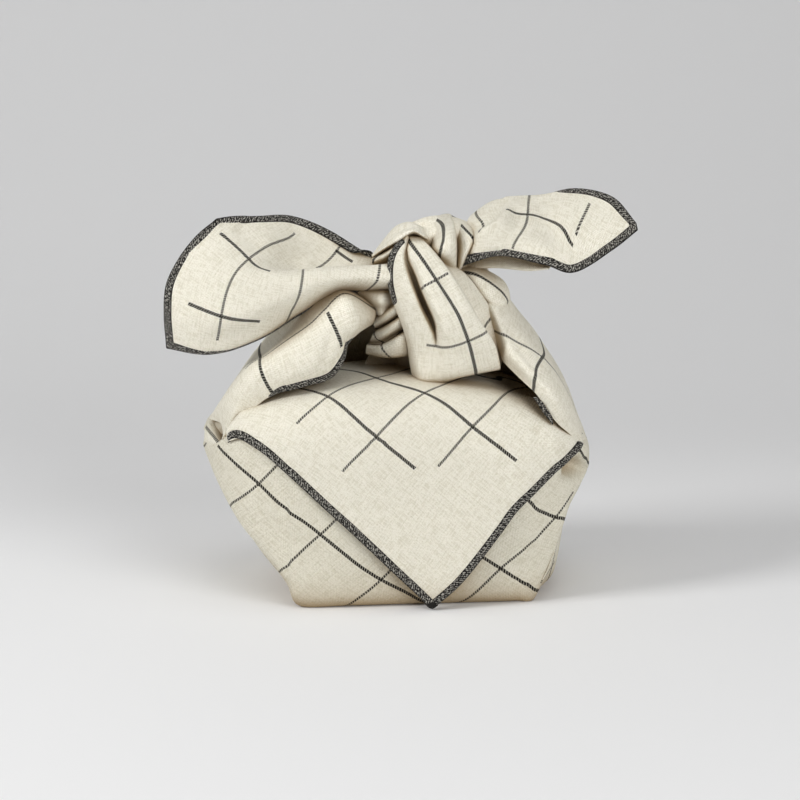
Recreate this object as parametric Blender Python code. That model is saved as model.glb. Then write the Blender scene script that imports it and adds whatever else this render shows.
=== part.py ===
"""A square furoshiki cloth tied round a rounded bundle.

The far corner of the cloth folds over the top and hangs down the front as a pointed flap.
The two side corners rise as gathered shoulders, cross in a knot on top and end in two free
ears, and one strand of the knot hangs over its front. Units are millimetres until a point
is written into a mesh. X runs to the right, Y to the back and Z up, from the middle of the base.
"""
import math

import bmesh
import bpy
from mathutils import Vector

MM = 0.001

# Driving sizes
FLAP_LIFT = 2.4         # how far the flap stands above the cloth under it
SHEET = 2.2             # thickness of the free ears
HEM = 4.2               # width of the overlocked edge
HEM_ROUND = 0.3         # how far the hem wraps past the edge of the sheet in it
FLAP_FLOOR = 0.4        # the flap's tip stays this far off the floor
HEM_SWELL = 0.8         # how much the overlocked edge thickens the sheet on each side
OVERHANG = 0.13         # how far the front and back lean out for each millimetre of height
BOXINESS = 5.0          # squareness of the bundle's upright sections
TOP_BOXINESS = 3.4      # the same over the crown, which is rounder

# The front elevation is drawn from an eye in front of the object and a little above it
EYE_REACH = 1150.0
EYE_TILT = math.radians(12.0)
AIM = Vector((-6.7, 0.0, 90.3))
AIM_UP = AIM.z * math.cos(EYE_TILT)
SIGHT_UP = Vector((0.0, math.sin(EYE_TILT), math.cos(EYE_TILT)))
EYE = AIM + EYE_REACH * Vector((0.0, -math.cos(EYE_TILT), math.sin(EYE_TILT)))

# Bundle sections from left to right: x, lowest z, highest z, front y and back y at mid height
BUNDLE = (
    # x,     low, high, front, back
    (-100.5, 64.0, 76.0, -9.0, 7.0),
    (-98.0, 57.0, 80.0, -20.0, 20.0),
    (-92.0, 47.0, 86.0, -33.0, 31.0),
    (-82.0, 34.0, 93.0, -44.0, 39.0),
    (-70.0, 21.0, 98.0, -50.0, 44.0),
    (-60.0, 9.0, 101.0, -53.0, 47.0),
    (-53.5, -0.6, 102.5, -54.0, 49.0),
    (-30.0, -1.2, 104.5, -53.0, 52.0),
    (0.0, -1.4, 105.0, -50.0, 54.0),
    (30.0, -1.2, 102.0, -47.0, 54.0),
    (50.0, -0.8, 96.0, -44.0, 52.0),
    (58.5, 9.0, 92.0, -41.0, 50.0),
    (67.0, 24.0, 87.0, -36.0, 45.0),
    (75.0, 40.0, 80.0, -27.0, 36.0),
    (81.0, 50.0, 74.0, -15.0, 22.0),
    (83.5, 55.0, 69.0, -6.0, 8.0),
)

# Flap outline on the front elevation: across, up
FLAP_OUTLINE = (
    (8.6, -11.6), (-10.0, 8.0), (-38.0, 36.5), (-62.0, 58.0), (-83.0, 73.0), (-88.0, 76.0),
    (-88.0, 150.0), (82.0, 150.0), (82.0, 68.0), (70.0, 54.0), (42.0, 26.0), (22.0, 2.0),
)
FLAP_PLANE = -52.0            # depth at which the outline is true
FLAP_DEPTH = (-90.0, 4.0)     # the flap's layer runs from in front of the bundle to past its crown

# Gathered shoulders: upright sections from the bundle's corner to the knot. Each is an arch with
# its front border on the flap, its ridge, and its back border, and the depth buried under it
SHOULDERS = {
    "left": (
        # x, front y, front z, ridge y, ridge z, back y, back z, under z
        (-98.0, -16.0, 70.0, -2.0, 80.0, 12.0, 68.0, 60.0),
        (-90.0, -36.0, 82.0, -4.0, 94.0, 30.0, 78.0, 64.0),
        (-78.0, -43.0, 97.0, -6.0, 112.0, 39.0, 91.0, 76.0),
        (-66.0, -43.0, 107.0, -8.0, 125.0, 41.0, 99.0, 82.0),
        (-54.0, -42.0, 114.0, -9.0, 135.0, 36.0, 106.0, 86.0),
        (-42.0, -37.0, 121.0, -9.0, 142.0, 29.0, 114.0, 90.0),
        (-31.0, -32.0, 127.0, -8.0, 146.0, 22.0, 121.0, 98.0),
        (-20.0, -24.0, 132.0, -5.0, 148.0, 16.0, 129.0, 108.0),
        (-8.0, -9.0, 138.0, 1.0, 150.0, 12.0, 138.0, 124.0),
    ),
    "right": (
        (82.0, -9.0, 62.0, -2.0, 70.0, 6.0, 61.0, 55.0),
        (79.0, -17.0, 71.0, -3.0, 80.0, 16.0, 68.0, 60.0),
        (73.0, -27.0, 81.0, -4.0, 96.0, 28.0, 78.0, 68.0),
        (65.0, -31.0, 90.0, -4.0, 110.0, 36.0, 87.0, 76.0),
        (57.0, -29.0, 100.0, -4.0, 123.0, 34.0, 96.0, 84.0),
        (48.0, -24.0, 108.0, -4.0, 135.0, 27.0, 106.0, 90.0),
        (39.0, -20.0, 116.0, -4.0, 145.0, 22.0, 117.0, 98.0),
        (28.0, -14.0, 126.0, -2.0, 151.0, 18.0, 128.0, 110.0),
        (16.0, -8.0, 136.0, 0.0, 152.0, 12.0, 138.0, 126.0),
    ),
}

# Free ears: fold lines from the knot out to the ear's end, each point across, up, depth
LEFT_EAR = (
    ("bottom edge", ((-6, 140, -14), (-36, 141, -22), (-55, 132, -28), (-75, 119, -33),
                     (-98, 112, -34), (-119.5, 113, -31))),
    ("belly", ((-6, 147, -24), (-36, 147, -32), (-55, 141, -36), (-76, 132, -39),
               (-100, 127, -38), (-120.5, 129, -32))),
    ("lip", ((-6, 153, -18), (-36, 151.5, -24), (-55, 150, -29), (-74, 148, -33),
             (-97, 143, -33), (-118.5, 144, -28))),
    ("pocket", ((-6, 152, -6), (-36, 150, -8), (-55, 152, -13), (-73, 156, -24),
                (-94, 156, -28), (-114, 155, -25))),
    ("upper face", ((-8, 155, 0), (-37, 160, 2), (-55, 163, -2), (-72, 165, -14),
                    (-90, 166, -21), (-107, 165, -21))),
    ("top edge", ((-14, 156, 2), (-40, 170, 6), (-60, 176.5, 5), (-75, 177, -4),
                  (-87, 177, -11), (-95.5, 175.5, -16))),
)
RIGHT_EAR = (
    ("top edge", ((24, 173, 4), (41, 185, 5), (60, 187, 8), (77, 190, 8), (93, 188, 4),
                  (106.5, 173.5, -6))),
    ("upper face", ((24, 169, -8), (43, 180, -8), (61, 180, -4), (78, 182, -2), (93, 181, -1),
                    (106.7, 172.5, -6.5))),
    ("middle", ((24, 163, -18), (43, 171, -20), (62, 170, -16), (79, 171, -13), (94, 173, -8),
                (106.9, 171.5, -7))),
    ("lower face", ((23, 156, -22), (42, 163, -26), (63, 161, -26), (78, 159, -24), (94, 166, -14),
                    (107.1, 170.5, -7.5))),
    ("bottom edge", ((23, 151, -18), (42, 157.5, -24), (63, 154, -29), (77, 150, -29),
                     (94, 160, -18), (107.2, 169.5, -8))),
)

# Knot: fat rolls of gathered cloth through stations on the front elevation
KNOT = {
    "core": (
        # across, up, depth, half the width, half the depth, turn about its own line in degrees
        (-17.0, 142.0, 0.0, 10.0, 7.0, 0.0),
        (-4.0, 150.0, 1.0, 19.0, 16.0, 0.0),
        (13.0, 152.0, 1.0, 23.0, 19.0, 0.0),
        (28.0, 149.0, 1.0, 18.0, 15.0, 0.0),
        (41.0, 144.0, 1.0, 9.0, 8.0, 0.0),
    ),
    "over": (
        (-18.0, 150.0, 0.0, 7.0, 8.0, 0.0),
        (-10.0, 161.0, 0.0, 9.0, 11.0, 15.0),
        (4.0, 166.5, -3.0, 8.0, 13.0, 20.0),
        (18.0, 168.5, -3.0, 8.5, 13.0, 10.0),
        (33.0, 172.0, -2.0, 8.0, 9.0, 0.0),
    ),
    "behind": (
        (12.0, 170.0, 4.0, 9.0, 6.0, 0.0),
        (6.0, 163.0, 15.0, 12.0, 8.0, 0.0),
        (4.0, 148.0, 21.0, 13.0, 9.0, 0.0),
        (12.0, 132.0, 19.0, 12.0, 9.0, 0.0),
        (24.0, 122.0, 12.0, 9.0, 7.0, 0.0),
    ),
    "foot": (
        (1.0, 94.0, 4.0, 40.0, 18.0, 0.0),
        (3.0, 106.0, 4.0, 33.0, 15.0, 0.0),
        (5.0, 122.0, 3.0, 25.0, 14.0, 0.0),
        (8.0, 142.0, 2.0, 20.0, 15.0, 0.0),
    ),
}

# Strand over the knot's front, from its top down: left and right border, up, and depth
STRAND = (
    # left, right, up, edge_depth, middle_depth
    (2.0, 18.0, 170.0, -2.0, -8.0),
    (-6.0, 20.0, 162.0, -16.0, -24.0),
    (-11.0, 22.0, 150.0, -22.0, -32.0),
    (-8.0, 30.0, 138.0, -22.0, -35.0),
    (-5.0, 36.0, 122.0, -20.0, -35.0),
    (-3.0, 41.0, 108.0, -18.0, -31.0),
    (0.0, 41.0, 99.0, -16.0, -25.0),
)
STRAND_THICK = 10.0

COLOUR = (0.83, 0.80, 0.71, 1.0)


def seen(across, up, depth):
    """Return the point at y = depth that shows at (across, up) on the front elevation."""
    drawn = AIM + Vector((across - AIM.x, 0.0, 0.0)) + (up - AIM_UP) * SIGHT_UP
    reach = (depth - EYE.y) / (drawn.y - EYE.y)
    return EYE + reach * (drawn - EYE)


def eased(values, place):
    """Read a smooth curve through evenly numbered values at a place between 0 and 1."""
    last = len(values) - 1
    spot = min(max(place, 0.0), 1.0) * last
    index = min(int(spot), last - 1)
    part = spot - index
    before = values[max(index - 1, 0)]
    start = values[index]
    end = values[index + 1]
    after = values[min(index + 2, last)]
    return (start + 0.5 * part * (end - before)
            + part ** 2 * (before - 2.5 * start + 2.0 * end - 0.5 * after)
            + part ** 3 * (1.5 * start - 0.5 * before - 1.5 * end + 0.5 * after))


def signed_power(value, power):
    """Raise a value to a power and keep its sign."""
    return math.copysign(abs(value) ** power, value)


def new_object(name, points, faces, guide=True):
    """Make a mesh object from millimetre points, as a guide unless it is a piece."""
    mesh = bpy.data.meshes.new(name)
    mesh.from_pydata([tuple(MM * value for value in point) for point in points], [], faces)
    shape = bmesh.new()
    shape.from_mesh(mesh)
    bmesh.ops.recalc_face_normals(shape, faces=shape.faces)
    bmesh.ops.triangulate(shape, faces=[face for face in shape.faces if len(face.verts) > 4])
    shape.to_mesh(mesh)
    shape.free()
    thing = bpy.data.objects.new(name, mesh)
    bpy.context.scene.collection.objects.link(thing)
    if guide:
        thing.hide_render = True
        thing.display_type = "WIRE"
    return thing


def loft(name, rings, guide=True):
    """Join closed rings of equal length into a closed body with an end cap at each end."""
    count = len(rings[0])
    points = [point for ring in rings for point in ring]
    faces = []
    for row in range(len(rings) - 1):
        for step in range(count):
            follow = (step + 1) % count
            faces.append((row * count + step, row * count + follow,
                          (row + 1) * count + follow, (row + 1) * count + step))
    for row in (0, len(rings) - 1):
        centre = sum((Vector(point) for point in rings[row]), Vector()) / count
        points.append(centre)
        for step in range(count):
            faces.append((row * count + step, row * count + (step + 1) % count, len(points) - 1))
    return new_object(name, points, faces, guide)


def bundle_ring(place, swell, floor, steps):
    """Return one upright section of the bundle, grown outwards by swell and flat at its floor."""
    x, low, high, front, back = (eased([row[column] for row in BUNDLE], place) for column in range(5))
    middle_z = 0.5 * (low + high)
    half_z = 0.5 * (high - low) + swell
    middle_y = 0.5 * (front + back)
    half_y = 0.5 * (back - front) + swell
    ring = []
    for step in range(steps):
        turn = 2.0 * math.pi * (step + 0.5) / steps
        boxy = BOXINESS if math.sin(turn) < 0.0 else TOP_BOXINESS
        z = middle_z + half_z * signed_power(math.sin(turn), 2.0 / boxy)
        y = middle_y + half_y * signed_power(math.cos(turn), 2.0 / boxy)
        y += math.copysign(OVERHANG * (z - 50.0), math.cos(turn)) * abs(math.cos(turn))
        ring.append(Vector((x, y, max(z, floor))))
    return ring


def bundle(name, swell, floor=0.0, guide=True):
    """Make the bundle's closed body, or a grown copy of it."""
    sections = 34
    steps = 44
    rings = [bundle_ring(row / (sections - 1), swell, floor, steps) for row in range(sections)]
    if swell:
        rings[0] = [point - Vector((swell, 0.0, 0.0)) for point in rings[0]]
        rings[-1] = [point + Vector((swell, 0.0, 0.0)) for point in rings[-1]]
    return loft(name, rings, guide)


def narrowed(outline, margin):
    """Return an outline moved inwards by margin, its points taken anticlockwise."""
    inner = []
    for index, spot in enumerate(outline):
        before = (spot - outline[index - 1]).normalized()
        after = (outline[(index + 1) % len(outline)] - spot).normalized()
        inward = Vector((-before.y - after.y, before.x + after.x)).normalized()
        inner.append(spot + margin / inward.dot(Vector((-after.y, after.x))) * inward)
    return inner


def flap_cutter(name, margin):
    """Make the upright block that cuts the flap's outline, less a margin."""
    outline = []
    for across, up in reversed(FLAP_OUTLINE):
        spot = seen(across, up, FLAP_PLANE)
        outline.append(Vector((spot.x, spot.z)))
    front, back = FLAP_DEPTH
    rings = [[Vector((spot.x, depth, spot.y)) for spot in narrowed(outline, margin)]
             for depth in (front, back)]
    return loft(name, rings)


def cut(thing, tool, operation):
    """Add a Boolean between a body and a tool, both of them closed."""
    change = thing.modifiers.new(tool.name, "BOOLEAN")
    change.solver = "MANIFOLD"
    change.operation = operation
    change.object = tool


def flap():
    """Make the flap's raised layer and its thicker hem from grown copies of the bundle."""
    layer = bundle("flap_layer", FLAP_LIFT, FLAP_FLOOR)
    cut(layer, flap_cutter("flap_outline", HEM_ROUND), "INTERSECT")
    hem = bundle("flap_hem", FLAP_LIFT + HEM_SWELL, 2.0 * FLAP_FLOOR)
    cut(hem, flap_cutter("flap_hem_outline", 0.0), "INTERSECT")
    cut(hem, flap_cutter("flap_middle", HEM), "DIFFERENCE")
    return [layer, hem]


def shoulder(name, stations, sections=16, steps=20):
    """Make one gathered shoulder as a closed run of arches."""
    columns = [[row[column] for row in stations] for column in range(8)]
    rings = []
    for row in range(sections):
        x, front_y, front_z, ridge_y, ridge_z, back_y, back_z, under = (
            eased(column, row / (sections - 1)) for column in columns)
        corners = (Vector((x, front_y, front_z)), Vector((x, ridge_y, ridge_z)),
                   Vector((x, back_y, back_z)), Vector((x, ridge_y, under)))
        loop = corners[-1:] + corners + corners[:2]
        ring = []
        for step in range(steps):
            spot = 4.0 * step / steps
            ring.append(eased(loop, (spot + 1.0) / (len(loop) - 1)))
        rings.append(ring)
    return loft(name, rings)


def roll(name, stations, sections=14, steps=16):
    """Make a fat roll of gathered cloth through stations on the front elevation."""
    rings = []
    columns = [[row[column] for row in stations] for column in range(6)]
    for row in range(sections):
        place = row / (sections - 1)
        across, up, depth, half_wide, half_thick, turn = (eased(column, place) for column in columns)
        ahead = seen(*(eased(column, min(place + 0.02, 1.0)) for column in columns[:3]))
        behind = seen(*(eased(column, max(place - 0.02, 0.0)) for column in columns[:3]))
        run = (ahead - behind).normalized()
        side = run.cross(Vector((0.0, -1.0, 0.0))).normalized()
        out = side.cross(run).normalized()
        tilt = math.radians(turn)
        wide = math.cos(tilt) * side + math.sin(tilt) * out
        thick = math.cos(tilt) * out - math.sin(tilt) * side
        centre = seen(across, up, depth)
        rings.append([centre + half_wide * math.cos(2.0 * math.pi * step / steps) * wide
                      + half_thick * math.sin(2.0 * math.pi * step / steps) * thick
                      for step in range(steps)])
    return loft(name, rings)


def sheet(name, lines, along=20, across=16):
    """Make a thin closed sheet over fold lines, thickened along its overlocked edges."""
    grid = []
    for row in range(across + 1):
        spots = []
        for column in range(along + 1):
            fold_points = [eased([seen(*point) for point in points], column / along)
                           for fold, points in lines]
            spots.append(eased(fold_points, row / across))
        grid.append(spots)
    front = []
    back = []
    for row, spots in enumerate(grid):
        for column, spot in enumerate(spots):
            down = grid[min(row + 1, across)][column] - grid[max(row - 1, 0)][column]
            run = grid[row][min(column + 1, along)] - grid[row][max(column - 1, 0)]
            normal = run.cross(down).normalized()
            half = 0.5 * SHEET
            if row in (0, across) or column == along:
                half += HEM_SWELL
            front.append(spot + half * normal)
            back.append(spot - half * normal)
    wide = along + 1
    total = len(front)
    faces = []
    for row in range(across):
        for column in range(along):
            corner = row * wide + column
            faces.append((corner, corner + 1, corner + wide + 1, corner + wide))
            faces.append((total + corner, total + corner + wide, total + corner + wide + 1,
                          total + corner + 1))
    border = [column for column in range(along)]
    border += [row * wide + along for row in range(across)]
    border += [across * wide + column for column in range(along, 0, -1)]
    border += [row * wide for row in range(across, 0, -1)]
    for index, corner in enumerate(border):
        follow = border[(index + 1) % len(border)]
        faces.append((corner, follow, total + follow, total + corner))
    return new_object(name, front + back, faces)


def strand():
    """Make the strand that hangs over the knot's front as a bowed band."""
    rings = []
    sections = 16
    steps = 18
    columns = [[row[column] for row in STRAND] for column in range(5)]
    for row in range(sections):
        left, right, up, edge_depth, middle_depth = (
            eased(column, row / (sections - 1)) for column in columns)
        ring = []
        for step in range(steps):
            turn = 2.0 * math.pi * step / steps
            spread = signed_power(math.cos(turn), 0.7)
            across = 0.5 * (left + right) + 0.5 * (right - left) * spread
            bow = 1.0 - spread * spread
            depth = edge_depth + (middle_depth - edge_depth) * bow
            if math.sin(turn) < 0.0:
                depth += STRAND_THICK * abs(math.sin(turn))
            ring.append(seen(across, up, depth))
        rings.append(ring)
    return loft("strand", rings)


def material():
    """Return the cloth's material."""
    cloth = bpy.data.materials.new("cotton_linen")
    cloth.use_nodes = True
    shader = cloth.node_tree.nodes["Principled BSDF"]
    shader.inputs["Base Color"].default_value = COLOUR
    shader.inputs["Roughness"].default_value = 0.9
    shader.inputs["Metallic"].default_value = 0.0
    return cloth


def build():
    """Join every fold of the one cloth into its single body."""
    for thing in list(bpy.data.objects):
        bpy.data.objects.remove(thing, do_unlink=True)
    cloth = bundle("cloth", 0.0, guide=False)
    parts = [shoulder(f"{side}_shoulder", stations) for side, stations in SHOULDERS.items()]
    parts += [roll(f"knot_{name}", stations) for name, stations in KNOT.items()]
    parts += [strand(), sheet("left_ear", LEFT_EAR), sheet("right_ear", RIGHT_EAR)]
    parts += flap()
    for part in parts:
        cut(cloth, part, "UNION")
    cloth.data.materials.append(material())


build()
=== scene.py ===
"""Looks of a square furoshiki cloth tied round a bundle, laid out as a Blender add-on.

The far corner of the cloth hangs down the front as a pointed flap. The side corners rise as
gathered shoulders, cross in a knot and end in two free ears, and one strand hangs over the
knot's front. Tables are in millimetres and meshes in metres. X runs to the right, Y to the
back and Z up, from the middle of the flat underside.
"""
import math
from functools import partial

import bmesh
import bpy
import numpy as np
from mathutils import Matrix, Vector, noise
from mathutils.bvhtree import BVHTree


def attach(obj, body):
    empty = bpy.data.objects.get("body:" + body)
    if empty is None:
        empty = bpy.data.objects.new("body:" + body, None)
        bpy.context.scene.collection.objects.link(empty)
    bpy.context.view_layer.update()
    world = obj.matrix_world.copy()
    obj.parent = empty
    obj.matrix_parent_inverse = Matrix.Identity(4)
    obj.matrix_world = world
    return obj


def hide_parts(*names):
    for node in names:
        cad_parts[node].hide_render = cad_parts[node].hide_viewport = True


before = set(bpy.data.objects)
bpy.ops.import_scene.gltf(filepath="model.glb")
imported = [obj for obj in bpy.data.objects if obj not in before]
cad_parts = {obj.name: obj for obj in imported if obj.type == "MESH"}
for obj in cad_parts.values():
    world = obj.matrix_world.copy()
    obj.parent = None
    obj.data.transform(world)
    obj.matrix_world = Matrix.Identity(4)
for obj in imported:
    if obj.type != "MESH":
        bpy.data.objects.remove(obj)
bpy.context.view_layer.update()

bl_info = {
    "name": "Tied furoshiki cloth",
    "version": (1, 0, 0),
    "blender": (4, 5, 0),
    "location": "3D View > Sidebar > Furoshiki",
    "description": "Builds a windowpane furoshiki cloth tied round a bundle",
    "category": "Add Mesh",
}

MM = 0.001              # a millimetre in Blender's metres
BODY = "root"
SOLID = "cloth"

# The front elevation is drawn from an eye in front of the object and a little above it
EYE_REACH = 1150.0      # distance from the eye to the spot it is aimed at
EYE_TILT = math.radians(12.0)
FIELD = 384.0           # width that is seen at that distance
AIM = np.array((-6.7, 0.0, 90.3))
FORWARD = np.array((0.0, math.cos(EYE_TILT), -math.sin(EYE_TILT)))
UPWARD = np.array((0.0, math.sin(EYE_TILT), math.cos(EYE_TILT)))
EYE = AIM - EYE_REACH * FORWARD
AIM_UP = float(AIM @ UPWARD)

# Bundle sections from left to right: x, lowest z, highest z, front y and back y at mid height
BUNDLE = (
    # x,     low, high, front, back
    (-100, 72, 79, -13, 12),
    (-97.5, 66.5, 81.5, -20, 20),
    (-92, 56, 86, -33, 32),
    (-82, 39.5, 93, -44, 40),
    (-70, 25.5, 98, -50, 46),
    (-60, 11.5, 101, -53, 49),
    (-53.5, -0.6, 102.5, -54, 50),
    (-30, -0.6, 104.5, -53, 52),
    (0, -0.6, 105, -50, 54),
    (30, -0.6, 102, -47, 54),
    (48, -0.6, 96.5, -44.5, 52),
    (57, -0.6, 93, -41.5, 50.5),
    (67, 25, 87, -36, 46),
    (75, 47, 80, -28, 37),
    (81, 57, 76, -20, 27),
    (83.5, 61, 71, -11, 14),
)
BASE_BOXINESS = 14.0    # how square a section is below its middle and above it, 2 for round
TOP_BOXINESS = 3.4
OVERHANG = 0.13         # how far front and back lean out for each millimetre of height
MID_HEIGHT = 50.0       # height at which they don't
BASE_FLAT = 1.0         # height up to which the underside stays flat
FLAP_LIFT = 1.5         # how far the flap stands off the cloth behind it, and its tip besides
FLAP_HANG = 5.0
HANG_FROM = 70.0        # height from which it comes away
FLAP_TUCK = np.array((0.0, 7.0, -5.0))      # how the flap goes on under the knot
FLAP_FLOOR = 0.8        # least heights of the flap and of the sides
SIDE_FLOOR = 0.6
SIDE_BULGE = np.array((0.30, 0.0, 0.0))     # fullness between a side's borders and its middle
BEFORE_ALL = -120.0     # a depth in front of the whole object

SHEET = 0.7             # thickness of the cloth
STITCH = 1.25           # length of one overlocking stitch
HEM_HALF = 0.95         # half the thickness of the overlocked edge
HEM_PROUD = 0.5         # how far the overlocked edge stands past the cloth's own
HEM_STEP = 0.45         # spacing of the points along the overlocked edge
HEM_SIDES = 16          # and how many go round it
HEM_SQUARE = 0.8        # power of its section, 1 for an ellipse and less for a box
HEM_TIP = 0.25          # share of its size that is left at its ends
STITCH_LEAN = 0.9       # stitches that one leans along the edge from its middle to its border
STITCH_DEPTH = 0.10     # share that the stitches ripple it by
KNOT_SIZE = (5.6, 3.8, 4.8)     # the thread's end knot at the flap's tip: wide, deep, high
KNOT_LUMP = 0.10        # unevenness of that knot
KNOT_RISE = np.array((0.0, -1.0, 2.4))      # its middle from the flap's tip
PLEATS, PLEAT_DEPTH, PLEAT_TWIST = 5, 0.05, 2.2     # of the knot's rolls
BEAD = 0.0012           # metres between the floats of the dark thread along a woven line

# Flap borders on the elevation, from the tip up: across, up
FLAP_LEFT = ((8.6, -11.5), (-2.5, -1), (-9.6, 5.6), (-17.3, 13), (-25, 20.2), (-32.6, 27.3),
    (-40.3, 34.2), (-48, 41.3), (-55.7, 48.4), (-63.4, 55.5), (-71, 62.2), (-78.7, 67.4),
    (-82.6, 69.7), (-85.4, 70.4), (-87.6, 69.8), (-89.3, 68.1))
FLAP_RIGHT = ((8.9, -11.5), (21.5, -0.5), (32.5, 12.5), (42.5, 25.7), (49, 34.8), (56.6, 42.6),
    (60.5, 46.6), (64.3, 50.5), (68.2, 54.3), (72, 57.4), (75.8, 61), (79.4, 64.6), (81, 67.5))

# Where the flap goes out of sight over the top of the bundle, from left to right
FLAP_CROWN = ((-90, 74), (-82, 84), (-70, 94), (-54, 102), (-30, 107), (0, 109), (28, 107),
    (46, 102), (60, 93), (72, 83), (80.5, 72))

# Gathered shoulders: fold lines from the side corner up to the knot, each point across, up,
# depth
LEFT_SHOULDER = (
    ("front border", ((-90, 67, -32), (-77, 83.5, -38), (-67, 91, -40), (-54, 94.8, -40),
        (-40.5, 99, -36), (-34, 107.5, -34), (-32, 115.5, -31), (-27, 120.5, -27),
        (-20, 125, -16))),
    ("front roll", ((-92, 69, -33), (-83, 86, -39), (-72, 96, -43), (-58, 102, -44.5),
        (-45, 107, -42), (-37, 115, -40), (-34, 121, -38), (-28.8, 124, -35), (-18.9, 127.8, -17))),
    ("face", ((-91.6, 72, -31), (-86.5, 87.5, -36), (-77, 101, -40), (-65, 109, -41.5),
        (-53, 116, -40), (-43.5, 124, -38), (-37, 129.5, -36.5), (-29.6, 131, -34),
        (-18.6, 131, -17))),
    ("ridge", ((-92.8, 77, -24), (-91, 88, -26), (-81, 103.5, -28), (-71.5, 109.5, -31),
        (-62, 116.5, -31), (-51.5, 124.5, -30), (-43, 131.5, -31), (-33, 139, -28),
        (-19.4, 133.6, -16))),
    ("upper face", ((-97.6, 79, -8), (-95, 84, -6), (-88, 94.5, -6), (-78.5, 108.5, -8),
        (-69.5, 118.5, -10), (-59, 129.5, -12), (-49, 137, -14), (-36, 142.5, -13),
        (-21, 137, -9))),
    ("back ridge", ((-97, 80, 10), (-91, 89, 12), (-83, 101, 12), (-73, 113, 12), (-64, 124, 10),
        (-54, 135, 8), (-44, 142, 6), (-35, 145, 4), (-22, 143, 1))),
    ("back roll", ((-92, 82, 28), (-84, 90, 34), (-75, 99, 36), (-64, 109, 36), (-53, 120, 33),
        (-44, 131, 27), (-36, 138, 20), (-29, 141, 13), (-18, 142, 7))),
    ("back border", ((-84, 76, 38), (-76, 82, 43), (-66, 88, 45), (-54, 94, 45), (-40, 97, 43),
        (-22, 99, 38), (-2, 100, 32), (8, 110, 24), (6, 134, 12))),
)
RIGHT_SHOULDER = (
    ("front border", ((81.5, 66, -18), (73.5, 73, -30), (68.5, 77.5, -33), (63.5, 84, -34),
        (58.5, 91.5, -34), (50, 99.5, -30), (43, 107, -26), (41, 113, -23), (35, 129, -19),
        (29, 138, -14))),
    ("front roll", ((82.5, 67.5, -16), (76, 77, -27), (72, 83.5, -33), (67, 91, -36),
        (61, 98.5, -36), (53, 106.5, -34), (46.5, 113, -31), (44.5, 118, -28), (38.5, 131.5, -22),
        (34, 140, -15))),
    ("face", ((82.5, 68.5, -11), (78, 80.5, -18), (75, 87, -23), (70.5, 95.5, -26), (65, 103, -26),
        (58, 112, -25), (52, 118.5, -23), (48.5, 124, -20), (42.5, 134, -16), (39, 141, -11))),
    ("ridge", ((82.5, 69, -3), (80, 74.5, -4), (77, 85.5, -4), (73.5, 93.5, -4), (68.5, 103.5, -5),
        (62.5, 113, -5), (58, 119.5, -5), (52.5, 126.5, -5), (46, 135.5, -5), (43, 141, -4))),
    ("back ridge", ((82, 72, 10), (79, 80, 12), (75, 90, 13), (71, 99, 13), (65, 109, 12),
        (59, 118, 10), (54, 125, 8), (49, 131, 7), (43, 138, 5), (39, 142, 3))),
    ("back roll", ((79, 76, 24), (74, 82, 32), (69, 89, 35), (64, 96, 35), (58, 104, 33),
        (52, 113, 29), (46, 121, 25), (42, 128, 20), (37, 136, 14), (32, 141, 10))),
    ("back border", ((73, 73, 34), (66, 79, 41), (60, 84, 43), (53, 89, 43), (45, 94, 40),
        (36, 98, 36), (28, 103, 32), (22, 110, 26), (18, 123, 18), (16, 136, 11))),
)

# Sides of the wrap pulled up from the base to the shoulders: one row a station, from the
# front to the back
SIDES = {
    "left": (
        # front x, y, z,      middle x, y, z,      back x, y, z
        (-52, -44, 1, -57.5, 0, 1, -52, 44, 1),
        (-59, -43.5, 11, -65, 0, 9, -59, 43, 11),
        (-68, -41.5, 24, -74.5, 0, 20.5, -68, 41, 24),
        (-78.5, -37, 40, -84.3, 0, 36, -78.5, 38, 40),
        (-86.5, -31, 56, -92.2, 0, 52.5, -86.5, 34, 56),
        (-90, -26, 66, -97, 1, 65, -90, 31, 66),
        (-88.5, -24, 73.5, -96, 2, 76, -88, 32, 75),
        (-84, -22, 80, -89.5, 2, 85, -84, 31, 83),
    ),
    "right": (
        (51.5, -32, 1, 61.5, 8, 1, 54, 47, 1),
        (56.5, -34, 5, 67.5, 10, 7, 58, 46, 5),
        (62, -34, 14, 69.3, 10, 14.5, 62, 44.5, 14),
        (66.5, -32, 26, 71, 8, 24.5, 66.5, 42, 26),
        (72, -27, 42, 74, 6, 37, 72, 36, 42),
        (77, -21, 54, 80.6, 3, 51, 76.5, 29, 54),
        (78.5, -17, 63, 83.2, 1, 61, 78, 26, 62.5),
        (77, -17, 70, 81.5, -1, 71, 76, 27, 70),
        (74, -17, 76, 77, -2, 80, 73, 27, 78),
    ),
}

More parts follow.
